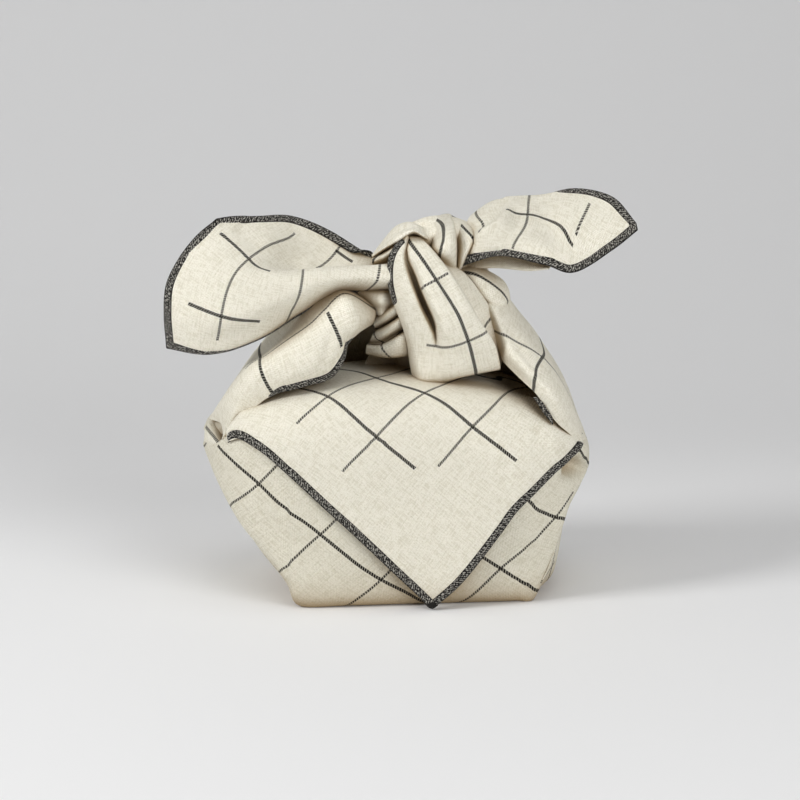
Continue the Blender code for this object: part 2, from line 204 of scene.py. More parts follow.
# Free ears: fold lines from the knot out to the ear's end, each point across, up, depth
LEFT_EAR = (
    ("bottom edge", ((-9, 140.2, -8), (-36, 140, -15), (-55, 129.7, -22), (-75, 117.4, -28),
        (-98, 110.8, -32), (-118.5, 113.5, -31))),
    ("bottom fold", ((-9, 141, -15), (-36, 141, -23), (-55, 131.5, -29), (-75, 119.5, -34),
        (-98, 113.5, -35.5), (-118.8, 117.5, -32))),
    ("belly", ((-9, 146, -26), (-36, 146, -33), (-55, 141, -37), (-76, 132, -40), (-100, 127, -39),
        (-119.6, 129, -32))),
    ("lip", ((-9, 153.5, -21), (-36, 152, -27), (-55, 150, -32), (-74, 148.5, -35), (-98, 142, -35),
        (-118.5, 144, -28))),
    ("pocket", ((-9, 151, -8), (-36, 149, -10), (-55, 150.5, -15), (-73, 154, -26), (-94, 156, -29),
        (-112, 157, -25))),
    ("upper face", ((-12, 154, 0), (-37, 160, 3), (-55, 164, -2), (-72, 166, -14), (-90, 166, -21),
        (-104, 167, -22))),
    ("top edge", ((-18, 154.5, 2), (-40, 169, 6), (-58, 176, 5), (-74, 176.3, -4),
        (-86, 176.3, -11), (-94.5, 175, -17))),
)
RIGHT_EAR = (
    ("top edge", ((25.2, 172.8, -3), (28.5, 177.3, 2), (41, 184.8, 5), (60, 186.5, 8),
        (77, 189.5, 8), (95, 185.5, 3), (106.3, 173, -6))),
    ("upper face", ((26.6, 170, -7), (31.5, 173.8, -13), (44, 179.4, -10), (61, 179, -4),
        (78, 182, -2), (94.5, 180, -1), (106.5, 172.3, -6.5))),
    ("middle", ((28, 166, -9), (32.6, 168.6, -20), (44, 171.8, -21), (62, 170, -16), (79, 171, -13),
        (95, 173, -8), (106.7, 171.5, -7))),
    ("lower face", ((25, 159.6, -11), (29.8, 160.8, -22), (43, 163, -26), (63, 161, -27),
        (78, 158, -25), (95, 166, -14), (106.9, 170.7, -7.5))),
    ("bottom edge", ((21.6, 152.4, -12), (27, 154.4, -20), (42, 157.8, -24), (63, 153.5, -29),
        (77, 150, -29), (95, 160.5, -18), (107, 170, -8))),
)

# Strand over the knot's front: fold lines from its left border to its right one, each from
# the top down
STRAND = (
    ("left border", ((-5, 167.3, -20), (-11.5, 157.5, -24), (-12.2, 146.5, -25), (-9.6, 135, -26),
        (-5.6, 124, -25), (-2.6, 112, -22), (-0.4, 98.2, -21), (1.5, 98, -14))),
    ("left ridge", ((-3.4, 167.3, -21), (-7.6, 157.3, -27), (-8, 146.3, -29.5), (-5.2, 135, -31),
        (-2.2, 124, -31), (1.2, 111.5, -29), (4, 97.6, -28), (5.5, 98, -17))),
    ("left slope", ((-2.8, 167, -20), (-5.4, 157, -27.5), (-2.6, 146, -31), (1.6, 135, -33),
        (6.4, 124.5, -32.5), (9, 112, -31), (10.5, 98, -29), (11, 98.3, -18))),
    ("groove", ((-2.4, 166.8, -19), (-3.8, 157, -24), (0.2, 146, -23), (4.2, 135, -22),
        (9.2, 124.5, -27), (11.5, 112, -31.5), (13, 98.2, -29.5), (13, 98.5, -18))),
    ("main left", ((-1.5, 166.6, -20), (-1.6, 157, -28), (2.6, 146, -32.5), (7.2, 135, -35.5),
        (12.2, 124.5, -36), (15, 112, -34.5), (16.5, 98.7, -30.5), (16, 99, -18))),
    ("main roll", ((0, 166.5, -20), (3.5, 157, -29), (8, 146, -34), (13, 135, -37),
        (17.5, 124, -38), (21, 112, -36), (23, 100, -31), (22, 101, -19))),
    ("fold edge", ((3, 166.5, -19), (11, 157, -27), (18.5, 147, -31), (25.5, 135, -33),
        (32, 124.5, -33), (37.5, 114, -31), (40, 103.5, -27), (38, 104, -17))),
    ("step", ((4, 166, -15), (12, 156.5, -20), (19.5, 146.5, -23), (26.5, 134.5, -25),
        (32.5, 124, -26), (38.2, 113.5, -25), (40, 104, -23), (38.5, 104.5, -15))),
    ("right border", ((5, 166.5, -11), (16.5, 155, -15), (25.6, 147.5, -18), (34.6, 136, -20),
        (38.2, 126.5, -20), (42.5, 114, -19), (41.5, 105, -17), (40, 105.5, -12))),
)

# Fat rolls of gathered cloth in the knot, through stations on the elevation
KNOT = {
    "knot_core": (
        # across, up, depth, half the width, half the depth, turn about its own line in degrees
        (-17, 142, 0, 9, 7, 0),
        (-4, 149, 1, 15, 13, 0),
        (13, 150, 1, 20, 16, 0),
        (26, 146, 2, 13, 12, 0),
        (35, 142, 2, 5, 5, 0),
    ),
    "knot_over": (
        (-18, 150, 2, 5, 6, 0),
        (-11, 157.5, 1, 7, 9, 0),
        (1, 164.5, -3, 8.8, 14, 10),
        (14, 167.8, -3, 9, 14, 10),
        (27, 168, 0, 5.5, 7, 0),
    ),
    "knot_foot": (
        (12, 98, 6, 24, 14, 0),
        (12, 108, 6, 21, 13, 0),
        (11, 124, 5, 18, 13, 0),
        (11, 142, 3, 17, 14, 0),
    ),
}

# Folded fronts of the knot: lines from the left to the right or from the top down
KNOT_FOLDS = {
    "knot_wrap": (
        ("back", ((22, 151, 0), (31, 151.4, 2), (41.5, 145.6, 2), (45.4, 138, 2),
            (43.5, 132.5, 2))),
        ("top edge", ((21.4, 151.6, -9), (30, 151.8, -9), (42, 145.8, -7), (45.6, 137.5, -7),
            (43.5, 132.2, -6))),
        ("face", ((22.5, 149.8, -14), (30, 148.4, -17), (39, 142.6, -17), (43.8, 136, -15),
            (42.5, 131.6, -12))),
        ("low", ((25, 146, -15), (30.5, 143, -19), (37, 138, -20.5), (41.5, 134, -18),
            (41, 131, -14))),
        ("low edge", ((28, 141, -13), (32, 138, -17), (36, 134.6, -18.5), (39.5, 132.2, -16),
            (40, 130.4, -12))),
        ("under", ((28, 141, -5), (32, 138, -7), (36, 134.8, -8), (39.5, 132.6, -6),
            (40, 131, -4))),
    ),
    "knot_ear_under": (
        ("top", ((22, 163, -1), (38, 171, -4), (54, 171, -4), (69, 166, -8))),
        ("middle", ((21, 156, -5), (38, 160, -11), (54, 159, -14), (67, 155, -18))),
        ("low", ((20.8, 151.4, -8), (38, 152.2, -14), (54, 150.8, -19), (65, 151.6, -23.5))),
        ("under", ((20.8, 152.6, -2), (38, 153.8, -7), (54, 152.6, -12), (65, 153, -17))),
    ),
    "knot_hood": (
        ("back", ((-19, 155, 6), (-14, 161, 9), (-8, 167, 10), (-2.5, 170, 8), (1.5, 169, 2),
            (4.5, 166.5, -4), (6.8, 163, -8))),
        ("crown", ((-19.8, 157.8, -3), (-16.2, 163.2, -4), (-9.4, 171.2, -6), (-3.4, 173.6, -9),
            (1, 172.6, -12), (4.3, 170.3, -14), (7, 166.3, -15))),
        ("band", ((-20, 157.6, -9), (-15.2, 162, -14), (-9, 168.2, -18), (-3, 171.2, -20),
            (1, 171.1, -20.5), (4.2, 169, -20), (6.9, 166, -18))),
        ("fold edge", ((-19.9, 157, -10), (-14.8, 160.8, -18), (-8.8, 164.6, -23),
            (-3.6, 168.2, -25), (0.2, 169.6, -24.5), (3.9, 167.6, -23), (6.7, 165.2, -19))),
        ("turned under", ((-19.6, 156.7, -7), (-14, 160.2, -12), (-8.2, 163.8, -16),
            (-3.4, 167.2, -18), (0.3, 168.3, -18), (3.8, 166.3, -17), (6.5, 164.2, -15))),
        ("inside", ((-19, 156, -1), (-13.5, 158.5, -3), (-8, 161, -5), (-3.4, 164, -7),
            (0.3, 165.5, -8), (3.6, 163.5, -8), (6.2, 162, -8))),
    ),
    "knot_lip": (
        ("top", ((-19.6, 156.8, -8), (-14, 159.4, -14), (-8.6, 163, -18), (-4.6, 166.5, -19))),
        ("front", ((-19.8, 155.6, -11), (-14, 157.8, -18), (-9, 161.6, -21), (-5, 165.2, -21))),
        ("under", ((-19.9, 153.8, -10), (-14.2, 155.4, -15), (-9.6, 159, -18), (-6, 163, -18))),
        ("inside", ((-19.4, 152.8, 0), (-14, 153.6, -2), (-9.6, 157, -4), (-6, 160, -4))),
    ),
    "knot_lobe": (
        ("valley", ((8.6, 174.8, -9), (9.6, 169.5, -15), (8.8, 164, -18), (8.4, 159, -18),
            (9, 152.5, -13))),
        ("left ridge", ((11.4, 176.3, -8), (13.6, 171, -19), (13.4, 165, -24), (12.2, 159.5, -25),
            (12.6, 151, -15))),
        ("lobe", ((15, 177.4, -6), (16.8, 170.5, -20), (17, 164.5, -26), (16.6, 158.5, -26.5),
            (17, 149.5, -15))),
        ("lobe right", ((17.2, 177.3, -6), (18.8, 171, -18), (19.6, 164, -23), (19.6, 158, -23),
            (19.8, 149, -14))),
        ("crease", ((18, 176.8, -3), (19.8, 170, -11), (20.5, 163, -13), (20.6, 157, -14),
            (20.6, 151.4, -14))),
        ("panel", ((22.6, 174.2, -6), (23.5, 168.5, -15), (23.3, 162, -19), (22.3, 156.5, -19),
            (21.3, 151, -16))),
        ("panel right", ((29, 169.2, -9), (28.8, 165.6, -17), (26.3, 160.5, -20), (24, 155.5, -19),
            (21.8, 150.8, -16))),
        ("leaf crease", ((30, 165, -4), (29.2, 163, -8), (27, 159, -11), (24.4, 154.6, -12),
            (22.2, 150.4, -12))),
    ),
    "knot_bands": (
        ("back", ((-18, 131, 2), (-12, 136.5, 0), (-6.5, 141, -2), (1, 145, -4))),
        ("top edge", ((-18.6, 129, -8), (-13, 132.5, -13), (-7.6, 136.3, -15), (0, 140.5, -12))),
        ("top roll", ((-19.2, 126.4, -14), (-13, 130, -20), (-6.8, 134.2, -22), (1, 138.5, -16))),
        ("top low", ((-19, 123.4, -13), (-12.8, 126.9, -19), (-6.2, 131.2, -21), (1, 135.5, -16))),
        ("first groove", ((-18.4, 121.9, -8), (-12.3, 125.3, -12), (-5.6, 129.7, -14),
            (1, 134, -12))),
        ("middle roll", ((-19.6, 120.6, -14), (-13, 123.7, -20), (-5.8, 128, -22), (1, 132, -16))),
        ("middle low", ((-20.6, 117.8, -13), (-14, 119.6, -20), (-6, 124.4, -22), (1, 129, -16))),
        ("second groove", ((-21.6, 115.7, -9), (-15.4, 116, -13), (-6, 121.3, -15),
            (1, 126.5, -12))),
        ("low roll", ((-22.6, 114.6, -13), (-15.6, 114.4, -19), (-6, 119, -23), (2, 122, -17))),
        ("low", ((-23, 112, -12), (-15, 110.8, -19), (-6, 112.6, -22), (3, 114, -16))),
        ("low edge", ((-22.6, 110.6, -9), (-14, 108.8, -15), (-6, 109.4, -18), (3, 111, -12))),
        ("under", ((-20, 111.5, -2), (-13, 110.5, -3), (-5, 111, -4), (3, 112.5, -4))),
        ("skirt", ((-23, 107, 5), (-14, 106.5, 5), (-5, 106, 4), (3, 106, 3))),
        ("foot", ((-25, 100, 5), (-15, 99, 4), (-5, 98, 2), (3, 98, 0))),
    ),
    "knot_tuft": (
        ("top", ((-26.5, 142, -12), (-20, 141.8, -15), (-14, 141.6, -17), (-9, 141.5, -16))),
        ("roll", ((-26.8, 140, -15), (-20.5, 139.6, -20), (-14.8, 139.2, -22), (-9.4, 139, -19))),
        ("fold", ((-24.5, 136.8, -15), (-19.4, 136, -21), (-14.8, 135.4, -23), (-9.2, 136.2, -18))),
        ("dip", ((-22, 134.6, -12), (-18.6, 133.2, -17), (-14.8, 132.6, -19), (-10, 134, -15))),
        ("low", ((-20.5, 132, -10), (-17.8, 130, -15), (-15.2, 129.2, -17), (-11, 131.5, -14))),
        ("under", ((-19.6, 130.6, -4), (-17.4, 128.8, -8), (-15.2, 128.2, -9), (-11.4, 130.5, -8))),
    ),
    "knot_nape": (
        ("front", ((-16, 157, 2), (-9, 167, 2), (0, 172, 1), (11, 175, 0), (20, 174.5, -2),
            (26, 171, -3))),
        ("top", ((-17, 157, 9), (-10, 166, 10), (0, 171.8, 11), (11.5, 174, 10), (21, 173, 8),
            (28, 168.5, 5))),
        ("bend", ((-16, 152, 16), (-9, 162.5, 19), (1, 168, 21), (12, 169.5, 20), (21.5, 167, 17),
            (28, 161, 12))),
        ("back", ((-15, 146, 19), (-8, 154, 25), (2, 158, 28), (12, 159, 27), (21, 156, 24),
            (27, 151, 17))),
        ("low back", ((-13, 139, 19), (-7, 144, 25), (3, 146, 28.5), (12, 146, 28.5), (20, 144, 26),
            (26, 141, 18))),
        ("foot", ((-11, 130, 16), (-5, 132, 22), (4, 133, 25), (12, 133, 25), (19, 131, 22),
            (24.5, 130, 16))),
        ("end", ((-10, 120, 12), (-4, 121, 17), (4, 121, 20), (12, 121, 20), (18, 120, 18),
            (23, 119, 12))),
    ),
    "left_wing": (
        ("inside back", ((-94.5, 82, -8), (-92, 78.5, -12), (-89.5, 73, -18))),
        ("inside", ((-97.6, 78.4, -13), (-93.8, 75, -17), (-91, 70.5, -24))),
        ("fold edge", ((-99.8, 75.2, -18), (-96.5, 71.4, -29), (-92.7, 67.2, -37))),
        ("outer", ((-100.4, 70.5, -18), (-97.6, 68.2, -28), (-93.6, 66.2, -36))),
        ("outer low", ((-99.8, 66, -14), (-97, 65, -24), (-93, 64, -31))),
    ),
}

# Woven lines on each piece: family, number, whether the first and the last point are free
# ends, and points across and up on the elevation
LINES = {
    "front_flap": (
        ("thick", 0, False, True, ((-55, 93.5), (-41.5, 90), (-30, 81), (-18, 70.5), (0.5, 55.5))),
        ("thick", 1, False, True, ((-27, 101.5), (-18.5, 98.5), (-5.5, 94.5), (5, 91.5),
            (14.5, 86.5), (28.5, 75.5), (49, 59.5))),
        ("thick", 2, False, False, ((28.5, 100.5), (35, 98.5), (48, 98), (54.5, 94))),
        ("thin", 0, True, False, ((-56.5, 77), (-41.5, 90), (-34, 94), (-18.5, 98.5), (-2, 103))),
        ("thin", 1, True, False, ((-34.5, 54.5), (-18, 70.5), (-5.5, 83.5), (5, 91.5), (20.5, 97.5),
            (28.5, 100.5))),
        ("thin", 2, True, False, ((11.5, 56.5), (28.5, 75.5), (37, 83.5), (43.5, 91.5),
            (54, 94.5))),
    ),
    "right_side": (
        ("thick", 0, True, True, ((79.2, 62.4), (83, 56.6))),
        ("thin", 0, True, True, ((67, 10.8), (63.9, 5.4), (61, 4.4), (59.6, -1.2))),
    ),
    "left_side": (
        ("thick", 0, True, True, ((-55.8, -5.4), (-54.6, -9.2))),
    ),
    "left_wing": (
        ("thin", 0, False, False, ((-99.5, 75), (-96.6, 71.2), (-93, 67))),
    ),
    "bundle": (
        ("thick", 0, True, False, ((-94.5, 66), (-75, 48), (-45, 23.5), (-16, 1.5), (5.5, -9))),
        ("thick", 1, False, False, ((33, 13), (41.5, 7), (50.5, 1.5), (59.5, -2.5))),
        ("thick", 2, False, False, ((55, 39.5), (61, 35), (67.5, 31.5), (73, 32))),
        ("thin", 0, False, False, ((-66, 56.5), (-75, 48), (-80, 43.5), (-88.5, 38.5))),
        ("thin", 1, False, False, ((-37, 31), (-45, 23.5), (-63.5, 7))),
        ("thin", 2, False, False, ((-11.5, 6), (-16, 1.5), (-23.5, -4.5), (-31, -9.5))),
        ("thin", 3, True, False, ((76.5, 44), (67.5, 31.5), (61, 24.5), (41.5, 7), (31.5, -2),
            (22, -9))),
    ),
    "left_ear": (
        ("thick", 0, True, True, ((-92.5, 168.5), (-79, 155.5), (-69.5, 149))),
        ("thick", 1, True, True, ((-108.5, 134.5), (-92.5, 128.5), (-82.5, 126.5), (-74, 127))),
        ("thick", -1, True, True, ((-37.5, 160), (-32.5, 157), (-30, 153.5))),
        ("thin", 0, True, True, ((-56.5, 167.5), (-73, 160.5), (-79, 155.5), (-86.5, 148.5),
            (-91, 136), (-92.5, 128.5), (-94, 117))),
        ("thin", 1, False, False, ((-52.5, 150), (-55.5, 138.5), (-59, 130.5))),
        ("thin", 2, False, False, ((-15, 153.5), (-18, 146.5), (-20.5, 142.5), (-23, 141))),
    ),
    "right_ear": (
        ("thick", 0, True, True, ((44.5, 179), (55, 177), (62.5, 175.5), (69, 172), (74, 168),
            (75.5, 163.5), (76, 159))),
        ("thin", 0, False, True, ((55, 185.5), (54.5, 177), (53.5, 171.5), (50.5, 166.5),
            (46, 161.5))),
        ("thin", 1, True, True, ((84.5, 182.5), (81, 175.5), (77.5, 167.5))),
        ("thin", -1, False, True, ((29.5, 177.5), (32.5, 173), (33, 169))),
    ),
    "front_strand": (
        ("thick", 0, False, False, ((-2.5, 164.5), (4.5, 155), (10.5, 146), (18.5, 134), (24, 123),
            (28.5, 109), (30, 102))),
        ("thin", 0, True, True, ((4, 141), (6, 143.5), (10.5, 146), (16, 149))),
        ("thin", 1, True, False, ((6, 115.5), (16.5, 113.5), (26, 117), (33.5, 120), (36.5, 125.5),
            (36, 130.5))),
    ),
    "left_shoulder": (
        ("thin", 0, True, False, ((-80.5, 103.5), (-64, 114.5), (-50, 124.5), (-43, 130.5),
            (-37.5, 137.5), (-33, 139.2))),
        ("thick", 0, False, True, ((-74, 109), (-73, 102.5), (-71, 96.5), (-68, 91))),
        ("thick", 1, True, True, ((-41.5, 130), (-38.5, 124), (-35.5, 117), (-35, 114))),
    ),
    "knot_lobe": (
        ("thick", 0, False, False, ((11.6, 176), (14.4, 169.8), (14.7, 167.2), (13.4, 163),
            (12.1, 156))),
        ("thick", 1, False, False, ((17.5, 176.8), (23, 171.8), (28.6, 165.6))),
    ),
    "knot_bands": (
        ("thick", 0, False, False, ((-21.8, 115), (-17, 114.6), (-13.6, 115.6), (-5.4, 121.2))),
        ("thin", 0, False, False, ((-19.8, 123.2), (-17.2, 117.6), (-14.2, 113.6))),
    ),
    "knot_lip": (
        ("thick", 0, False, True, ((-19.6, 155), (-17.5, 157), (-14.6, 158.6))),
    ),
    "right_shoulder": (
        ("thick", 0, False, False, ((61.5, 113.5), (62.5, 110), (58, 103), (58, 92))),
        ("thin", 0, False, False, ((45.5, 118.5), (52, 114.5), (61, 109), (66.5, 103.5))),
    ),
    "knot_wrap": (
        ("thick", 0, False, False, ((23, 150), (30.5, 147.5), (38, 143.5), (42.5, 141.5),
            (42.5, 135.5))),
    ),
}

# Creases: depth (a ridge is positive), width, and points across and up
CREASES = {
    "bundle": (
        (-10, 4.4, ((71.5, 56.5), (76.5, 56), (82, 58.5))),
        (-7, 5, ((-98, 77), (-95, 74), (-92, 70))),
        (1, 6, ((-60, 50), (-40, 20), (-25, 5))),
        (-0.8, 6, ((-75, 30), (-60, 22), (-48, 4))),
        (-1, 5, ((66, 40), (60, 20), (52, 4))),
    ),
    "front_flap": (
        (0.7, 8, ((-60, 78), (-20, 40), (5, 5))),
        (-0.7, 10, ((-20, 90), (10, 60), (30, 40))),
        (0.6, 7, ((-10, 98), (20, 88), (50, 70))),
    ),
    "knot_nape": (
        (3, 2.4, ((-14, 152), (-4, 154), (10, 160), (26, 166))),
        (3.2, 2.6, ((-10, 140), (2, 141), (14, 147), (27, 157))),
        (-1.8, 4.5, ((-12, 146), (4, 148), (20, 156))),
        (2.6, 2.4, ((-6, 128), (6, 130), (16, 136), (25, 146))),
        (2, 2.2, ((-12, 162), (-2, 163), (8, 168), (18, 172))),
    ),
    "left_ear": (
        (-2, 6, ((-85, 172), (-72, 160), (-52, 152))),
        (1.2, 6, ((-95, 120), (-70, 132), (-40, 146))),
        (-1, 5, ((-100, 116), (-78, 124), (-58, 134))),
        (1, 8, ((-110, 160), (-98, 140), (-90, 120))),
    ),
    "right_ear": (
        (2, 2.4, ((46, 181), (44.6, 178.6), (40.5, 173.5), (33.5, 168.8), (28, 165))),
        (-2.2, 2.6, ((44, 185), (38.5, 177), (33, 173), (28, 170))),
        (-1.6, 5, ((52, 181), (48, 170), (40, 163))),
        (-1.2, 5, ((60, 185), (66, 172), (70, 156))),
    ),
    "front_strand": (
        (-1.3, 2, ((-2, 160), (0.5, 148), (3.5, 139.5), (7.5, 128.5), (10.5, 122))),
        (-1, 2.5, ((8, 157), (15, 144), (22, 130))),
        (-0.8, 3.5, ((16, 120), (20, 110), (24, 104))),
    ),
    "left_shoulder": (
        (-1.6, 5, ((-90, 76), (-74, 94), (-62, 98))),
        (1, 2.5, ((-32, 135.5), (-28.5, 127), (-33, 116))),
        (-1.2, 2.5, ((-44, 104), (-41, 112), (-40, 122))),
    ),
    "right_shoulder": (
        (-1.2, 3, ((42, 128), (52, 112), (66, 94))),
        (-1, 4, ((78, 76), (72, 92), (62, 106))),
        (1, 2.5, ((45, 112), (54, 103), (60, 96))),
    ),
    "knot_hood": (
        (-0.9, 1, ((-12, 166), (-6, 170), (0, 171.2), (5, 168))),
    ),
    "knot_over": (
        (-1.2, 1.4, ((-1.4, 172.8), (4.5, 172.5), (8, 169), (9.5, 164))),
        (-1, 1.2, ((1.5, 174), (7, 173), (9.5, 170))),
    ),
}

# Overlocked edges: part of the sheet's lower border, how far it is moved, share of the usual
# width, and the lengths it tapers over at its two ends
SHOULDER_EDGES = {
    "left_shoulder": ((40, 160), (0.0, 0.0, 0.0), 1.0, (14.0, 8.0)),
    "right_shoulder": ((44, 84), (-1.2, -0.4, -1.2), 0.6, (5.0, 5.0)),
}
STRAND_EDGE = (2, 58)
FLAP_SHARE, FLAP_TAPER = 0.94, (3.0, 3.0)

# The ears' edges: where they begin on the lower border, and the borders they run along next
EAR_EDGES = {"left_ear": (0, ("end",)), "right_ear": (74, ())}
EAR_TAPER = (10.0, 6.0)

# Points along and across a sheet of each kind, for the flap also those over its crown, and for
# closed shapes their sections and the steps round them
GRIDS = {"bundle": (150, 240), "flap_surface": (240, 480), "flap": (170, 140, 60),
         "shoulder": (190, 130), "side": (100, 90), "roll": (90, 96), "fold": (70, 60),
         "strand": (130, 120), "ear": (130, 110)}
CURVE_FINE = 400        # points a curve is read at before its points are spaced evenly
TUCK_ROWS = 7           # rows of the flap's end under the knot, with the one that stays seen
LEVELLED = 0.05         # share of the flap's width over which its left border is followed closely
SAME_SPOT = 0.05        # border points nearer than this are one
BORDER_SOFT, FLAP_SOFT = 9, 15      # points that directions along a border are smoothed over

# Unevenness of handled cloth: height and size of the bumps, and the noise's seed
RUMPLES = {"bundle": (0.5, 26.0, 1), "flap": (0.45, 24.0, 2), "shoulder": (0.5, 18.0, 3),
           "side": (0.7, 20.0, 7), "roll": (0.6, 12.0, 4), "fold": (0.5, 18.0, 8),
           "strand": (0.5, 14.0, 5), "ear": (0.6, 20.0, 6)}
SEED_SHIFT = (17.3, 5.1, 9.7)       # how far a seed moves the noise

# Laying the check over a sheet
UNROLL_SIZE = 26        # rows and columns that a sheet is unrolled at
UNROLL_ROUNDS = 40
CORNERS = ((0, 1, 2), (1, 2, 0), (2, 0, 1))     # a triangle's edges, each with its far corner
FIRMNESS = (0.05, 6.0)  # least and most that one edge of a triangle counts for
TURN_STEP = 3           # degrees between the turns that are tried
BENDS = ((1.4, 0.5), (0.45, 0.3))   # how far a line's bend reaches, in pitches, and how firmly
UNCHARTED = 0.4         # where a family without charted lines falls, in pitches
EDGE_ON = -0.05         # above this a point's normal faces away from the eye
FAR = 40.0              # room to a stop that isn't there
STRETCH = (0.4, 2.5)    # least and most that a line's width is corrected by
TINY = 1e-6             # keeps divisions away from nothing

# Colours and tones of the weave, and of the light and shade painted into it. A noise is given
# by its size across and along in metres and its detail, a range by the value's two ends and
# then the share's
# Painted light and shade besides random tone: raised threads and slubs are made paler and sunk
# threads darker
LIT_AND_PALE_TINT = 1.06        # of raised threads and of sunk ones against the cloth's colour
SHADED_AND_DARK_TINT = (0.74, 0.715, 0.63)
FLECK_COLOUR = (0.52, 0.45, 0.33)
# Painted shade: a warm brown darkening laid into the cloth's colour in hollows where other cloth is
# near
HOLLOW_SHADE_COLOUR = (0.40, 0.29, 0.16)
HOLLOW_SHADE_REACH = 0.035    # how near other cloth has to be to shade a hollow, in metres
HOLLOW_SHADE_SAMPLES = 8
SLUB_NOISE = (0.0008, 0.007)
CLOUD_NOISE = (0.03, 0.03, 3.0)
FLECK_NOISE = (0.0012, 0.004, 4.0)
GRAIN_NOISE = (0.0007, 0.0007, 1.0)
RAGGED_NOISE = (0.0006, 0.0006)
BEAD_NOISE = (0.0008, 0.0008)
SLUB_RANGE = (0.68, 1.12, 0.45, 1.0)
WEAVE_RANGE = (-0.4, 1.0, 0.0, 0.62)
GRAIN_RANGE = (0.50, 0.72, 0.0, 0.45)
FLECK_RANGE = (0.70, 0.80)
HOLLOW_SHADE_RANGE = (0.80, 0.12)
BEAD_RANGE = (-0.6, 0.4)
CLOUD_SHARE, FLECK_SHARE, HOLLOW_SHADE_SHARE = 0.06, 0.09, 0.92
LINE_SOFT = 0.00012     # softness and raggedness of a line's borders in metres
LINE_RAGGED = 0.0006
BEAD_SLANT = 1.6        # how much further apart the floats are across a line than along it
THIN_TONE = (0.20, 0.94)    # how dark a line is between its threads' floats and on them
THICK_TONE = (0.52, 1.0)
# What shines on the cloth and on its lines, and how much each part of the relief rises
CLOTH_SHINE = (("Specular IOR Level", 0.15, 0.03), ("Sheen Weight", 0.05, 0.0))
SHEEN_ROUGHNESS = 0.5
RELIEF = {"weave": 0.5, "slubs": 1.5, "lines": 0.4}
BUMP = 0.8
CLOTH_DEPTH, THREAD_DEPTH = 0.0003, 0.0004      # metres that a relief's height stands for
ROUGHNESS = {"cloth": 0.92, "thread": 0.7, "paper": 0.95}

# Tones of the overlocking thread, in the same terms
WANDER_NOISE, WANDER = (0.003, 0.0015, 3.0), 1.3
STRAND_NOISE, STRAND_SHARE = (0.0011, 0.0008, 3.0), 2.0
SLANT = 0.75            # how far round one stitch leans, in halves of the edge's width
WAVE_SHARE, FINE_SHARE = 0.20, 0.10
THREAD_RANGE = (0.92, 1.36)
RIM_RANGE, RIM_SHARE = (0.60, 0.85), 0.80
THREAD_SHINE = (("Specular IOR Level", 0.15), ("Sheen Weight", 0.03))

# Stage in metres: the sweep's front, the start and radius of its curve, its top and half its
# width, the paper's lit tone and its darker tone of painted shade, and where it changes from
# one to the other, and the lights' name, place, size and power
SWEEP_FRONT, SWEEP_TURN, SWEEP_RADIUS, SWEEP_TOP, SWEEP_HALF = -3.0, 0.30, 0.90, 3.0, 3.0
SWEEP_STEPS = 24
PAPER_LIT_AND_SHADED = ((0.86, 0.86, 0.862), (0.80, 0.80, 0.802))
PAPER_SHADE_RANGE = (0.08, 0.40)
DAYLIGHT = 0.16
LIGHTS = (("key", (-1.15, -0.60, 0.90), 0.5, 12.4),
          ("overhead", (0.10, -0.30, 1.35), 0.9, 3.2),
          ("fill", (0.95, -1.40, 0.80), 1.3, 16.8))
LIT_SPOT = Vector((0.0, 0.0, 0.08))
SENSOR = 36.0


class WrapSettings(bpy.types.PropertyGroup):
    """Sizes and colours of the tied cloth."""

    check_pitch: bpy.props.FloatProperty(
        name="Check pitch", description="Distance between the woven lines",
        default=0.036, min=0.005, max=0.2, unit="LENGTH")
    thick_line: bpy.props.FloatProperty(
        name="Thick line", description="Width of the heavier woven line",
        default=0.0016, min=0.0002, max=0.01, unit="LENGTH")
    thin_line: bpy.props.FloatProperty(
        name="Thin line", description="Width of the lighter woven line",
        default=0.0012, min=0.0002, max=0.01, unit="LENGTH")
    thread_pitch: bpy.props.FloatProperty(
        name="Thread pitch", description="Distance between neighbouring threads of the weave",
        default=0.0009, min=0.0001, max=0.003, unit="LENGTH")
    hem_width: bpy.props.FloatProperty(
        name="Hem width", description="Width of the overlocked edge",
        default=0.0042, min=0.001, max=0.02, unit="LENGTH")
    cloth_colour: bpy.props.FloatVectorProperty(
        name="Cloth colour", description="Undyed cotton-linen", subtype="COLOR", size=3,
        default=(0.913, 0.879, 0.772), min=0.0, max=1.0)
    # Painted shade: a duller copy of the cloth's colour for the bundle's lower cloth and its sides
    shaded_colour: bpy.props.FloatVectorProperty(
        name="Shaded colour", description="The cloth's duller reverse", subtype="COLOR", size=3,
        default=(0.82, 0.785, 0.675), min=0.0, max=1.0)
    line_colour: bpy.props.FloatVectorProperty(
        name="Line colour", description="Dark thread of the woven lines", subtype="COLOR", size=3,
        default=(0.013, 0.0115, 0.010), min=0.0, max=1.0)
    thread_colour: bpy.props.FloatVectorProperty(
        name="Edge thread colour", description="Lighter strand of the overlocking thread",
        subtype="COLOR", size=3, default=(0.46, 0.44, 0.39), min=0.0, max=1.0)


def settings():
    """Return the scene's sizes and colours."""
    return bpy.context.scene.furoshiki


# ---------------------------------------------------------------- elevation and curves

def seen(points):
    """Return millimetre points that show at (across, up) and lie at y = depth."""
    points = np.asarray(points, float)
    across, up, depth = points[..., 0], points[..., 1], points[..., 2]
    shown = AIM + (across - AIM[0])[..., None] * np.array((1.0, 0.0, 0.0))
    shown = shown + (up - AIM_UP)[..., None] * UPWARD
    reach = (depth - EYE[1]) / (shown[..., 1] - EYE[1])
    return EYE + reach[..., None] * (shown - EYE)


def drawn(points):
    """Return where millimetre points show on the elevation: across and up."""
    away = np.asarray(points, float) - EYE
    shrink = EYE_REACH / (away @ FORWARD)
    return np.stack((AIM[0] + away[..., 0] * shrink, AIM_UP + (away @ UPWARD) * shrink), axis=-1)


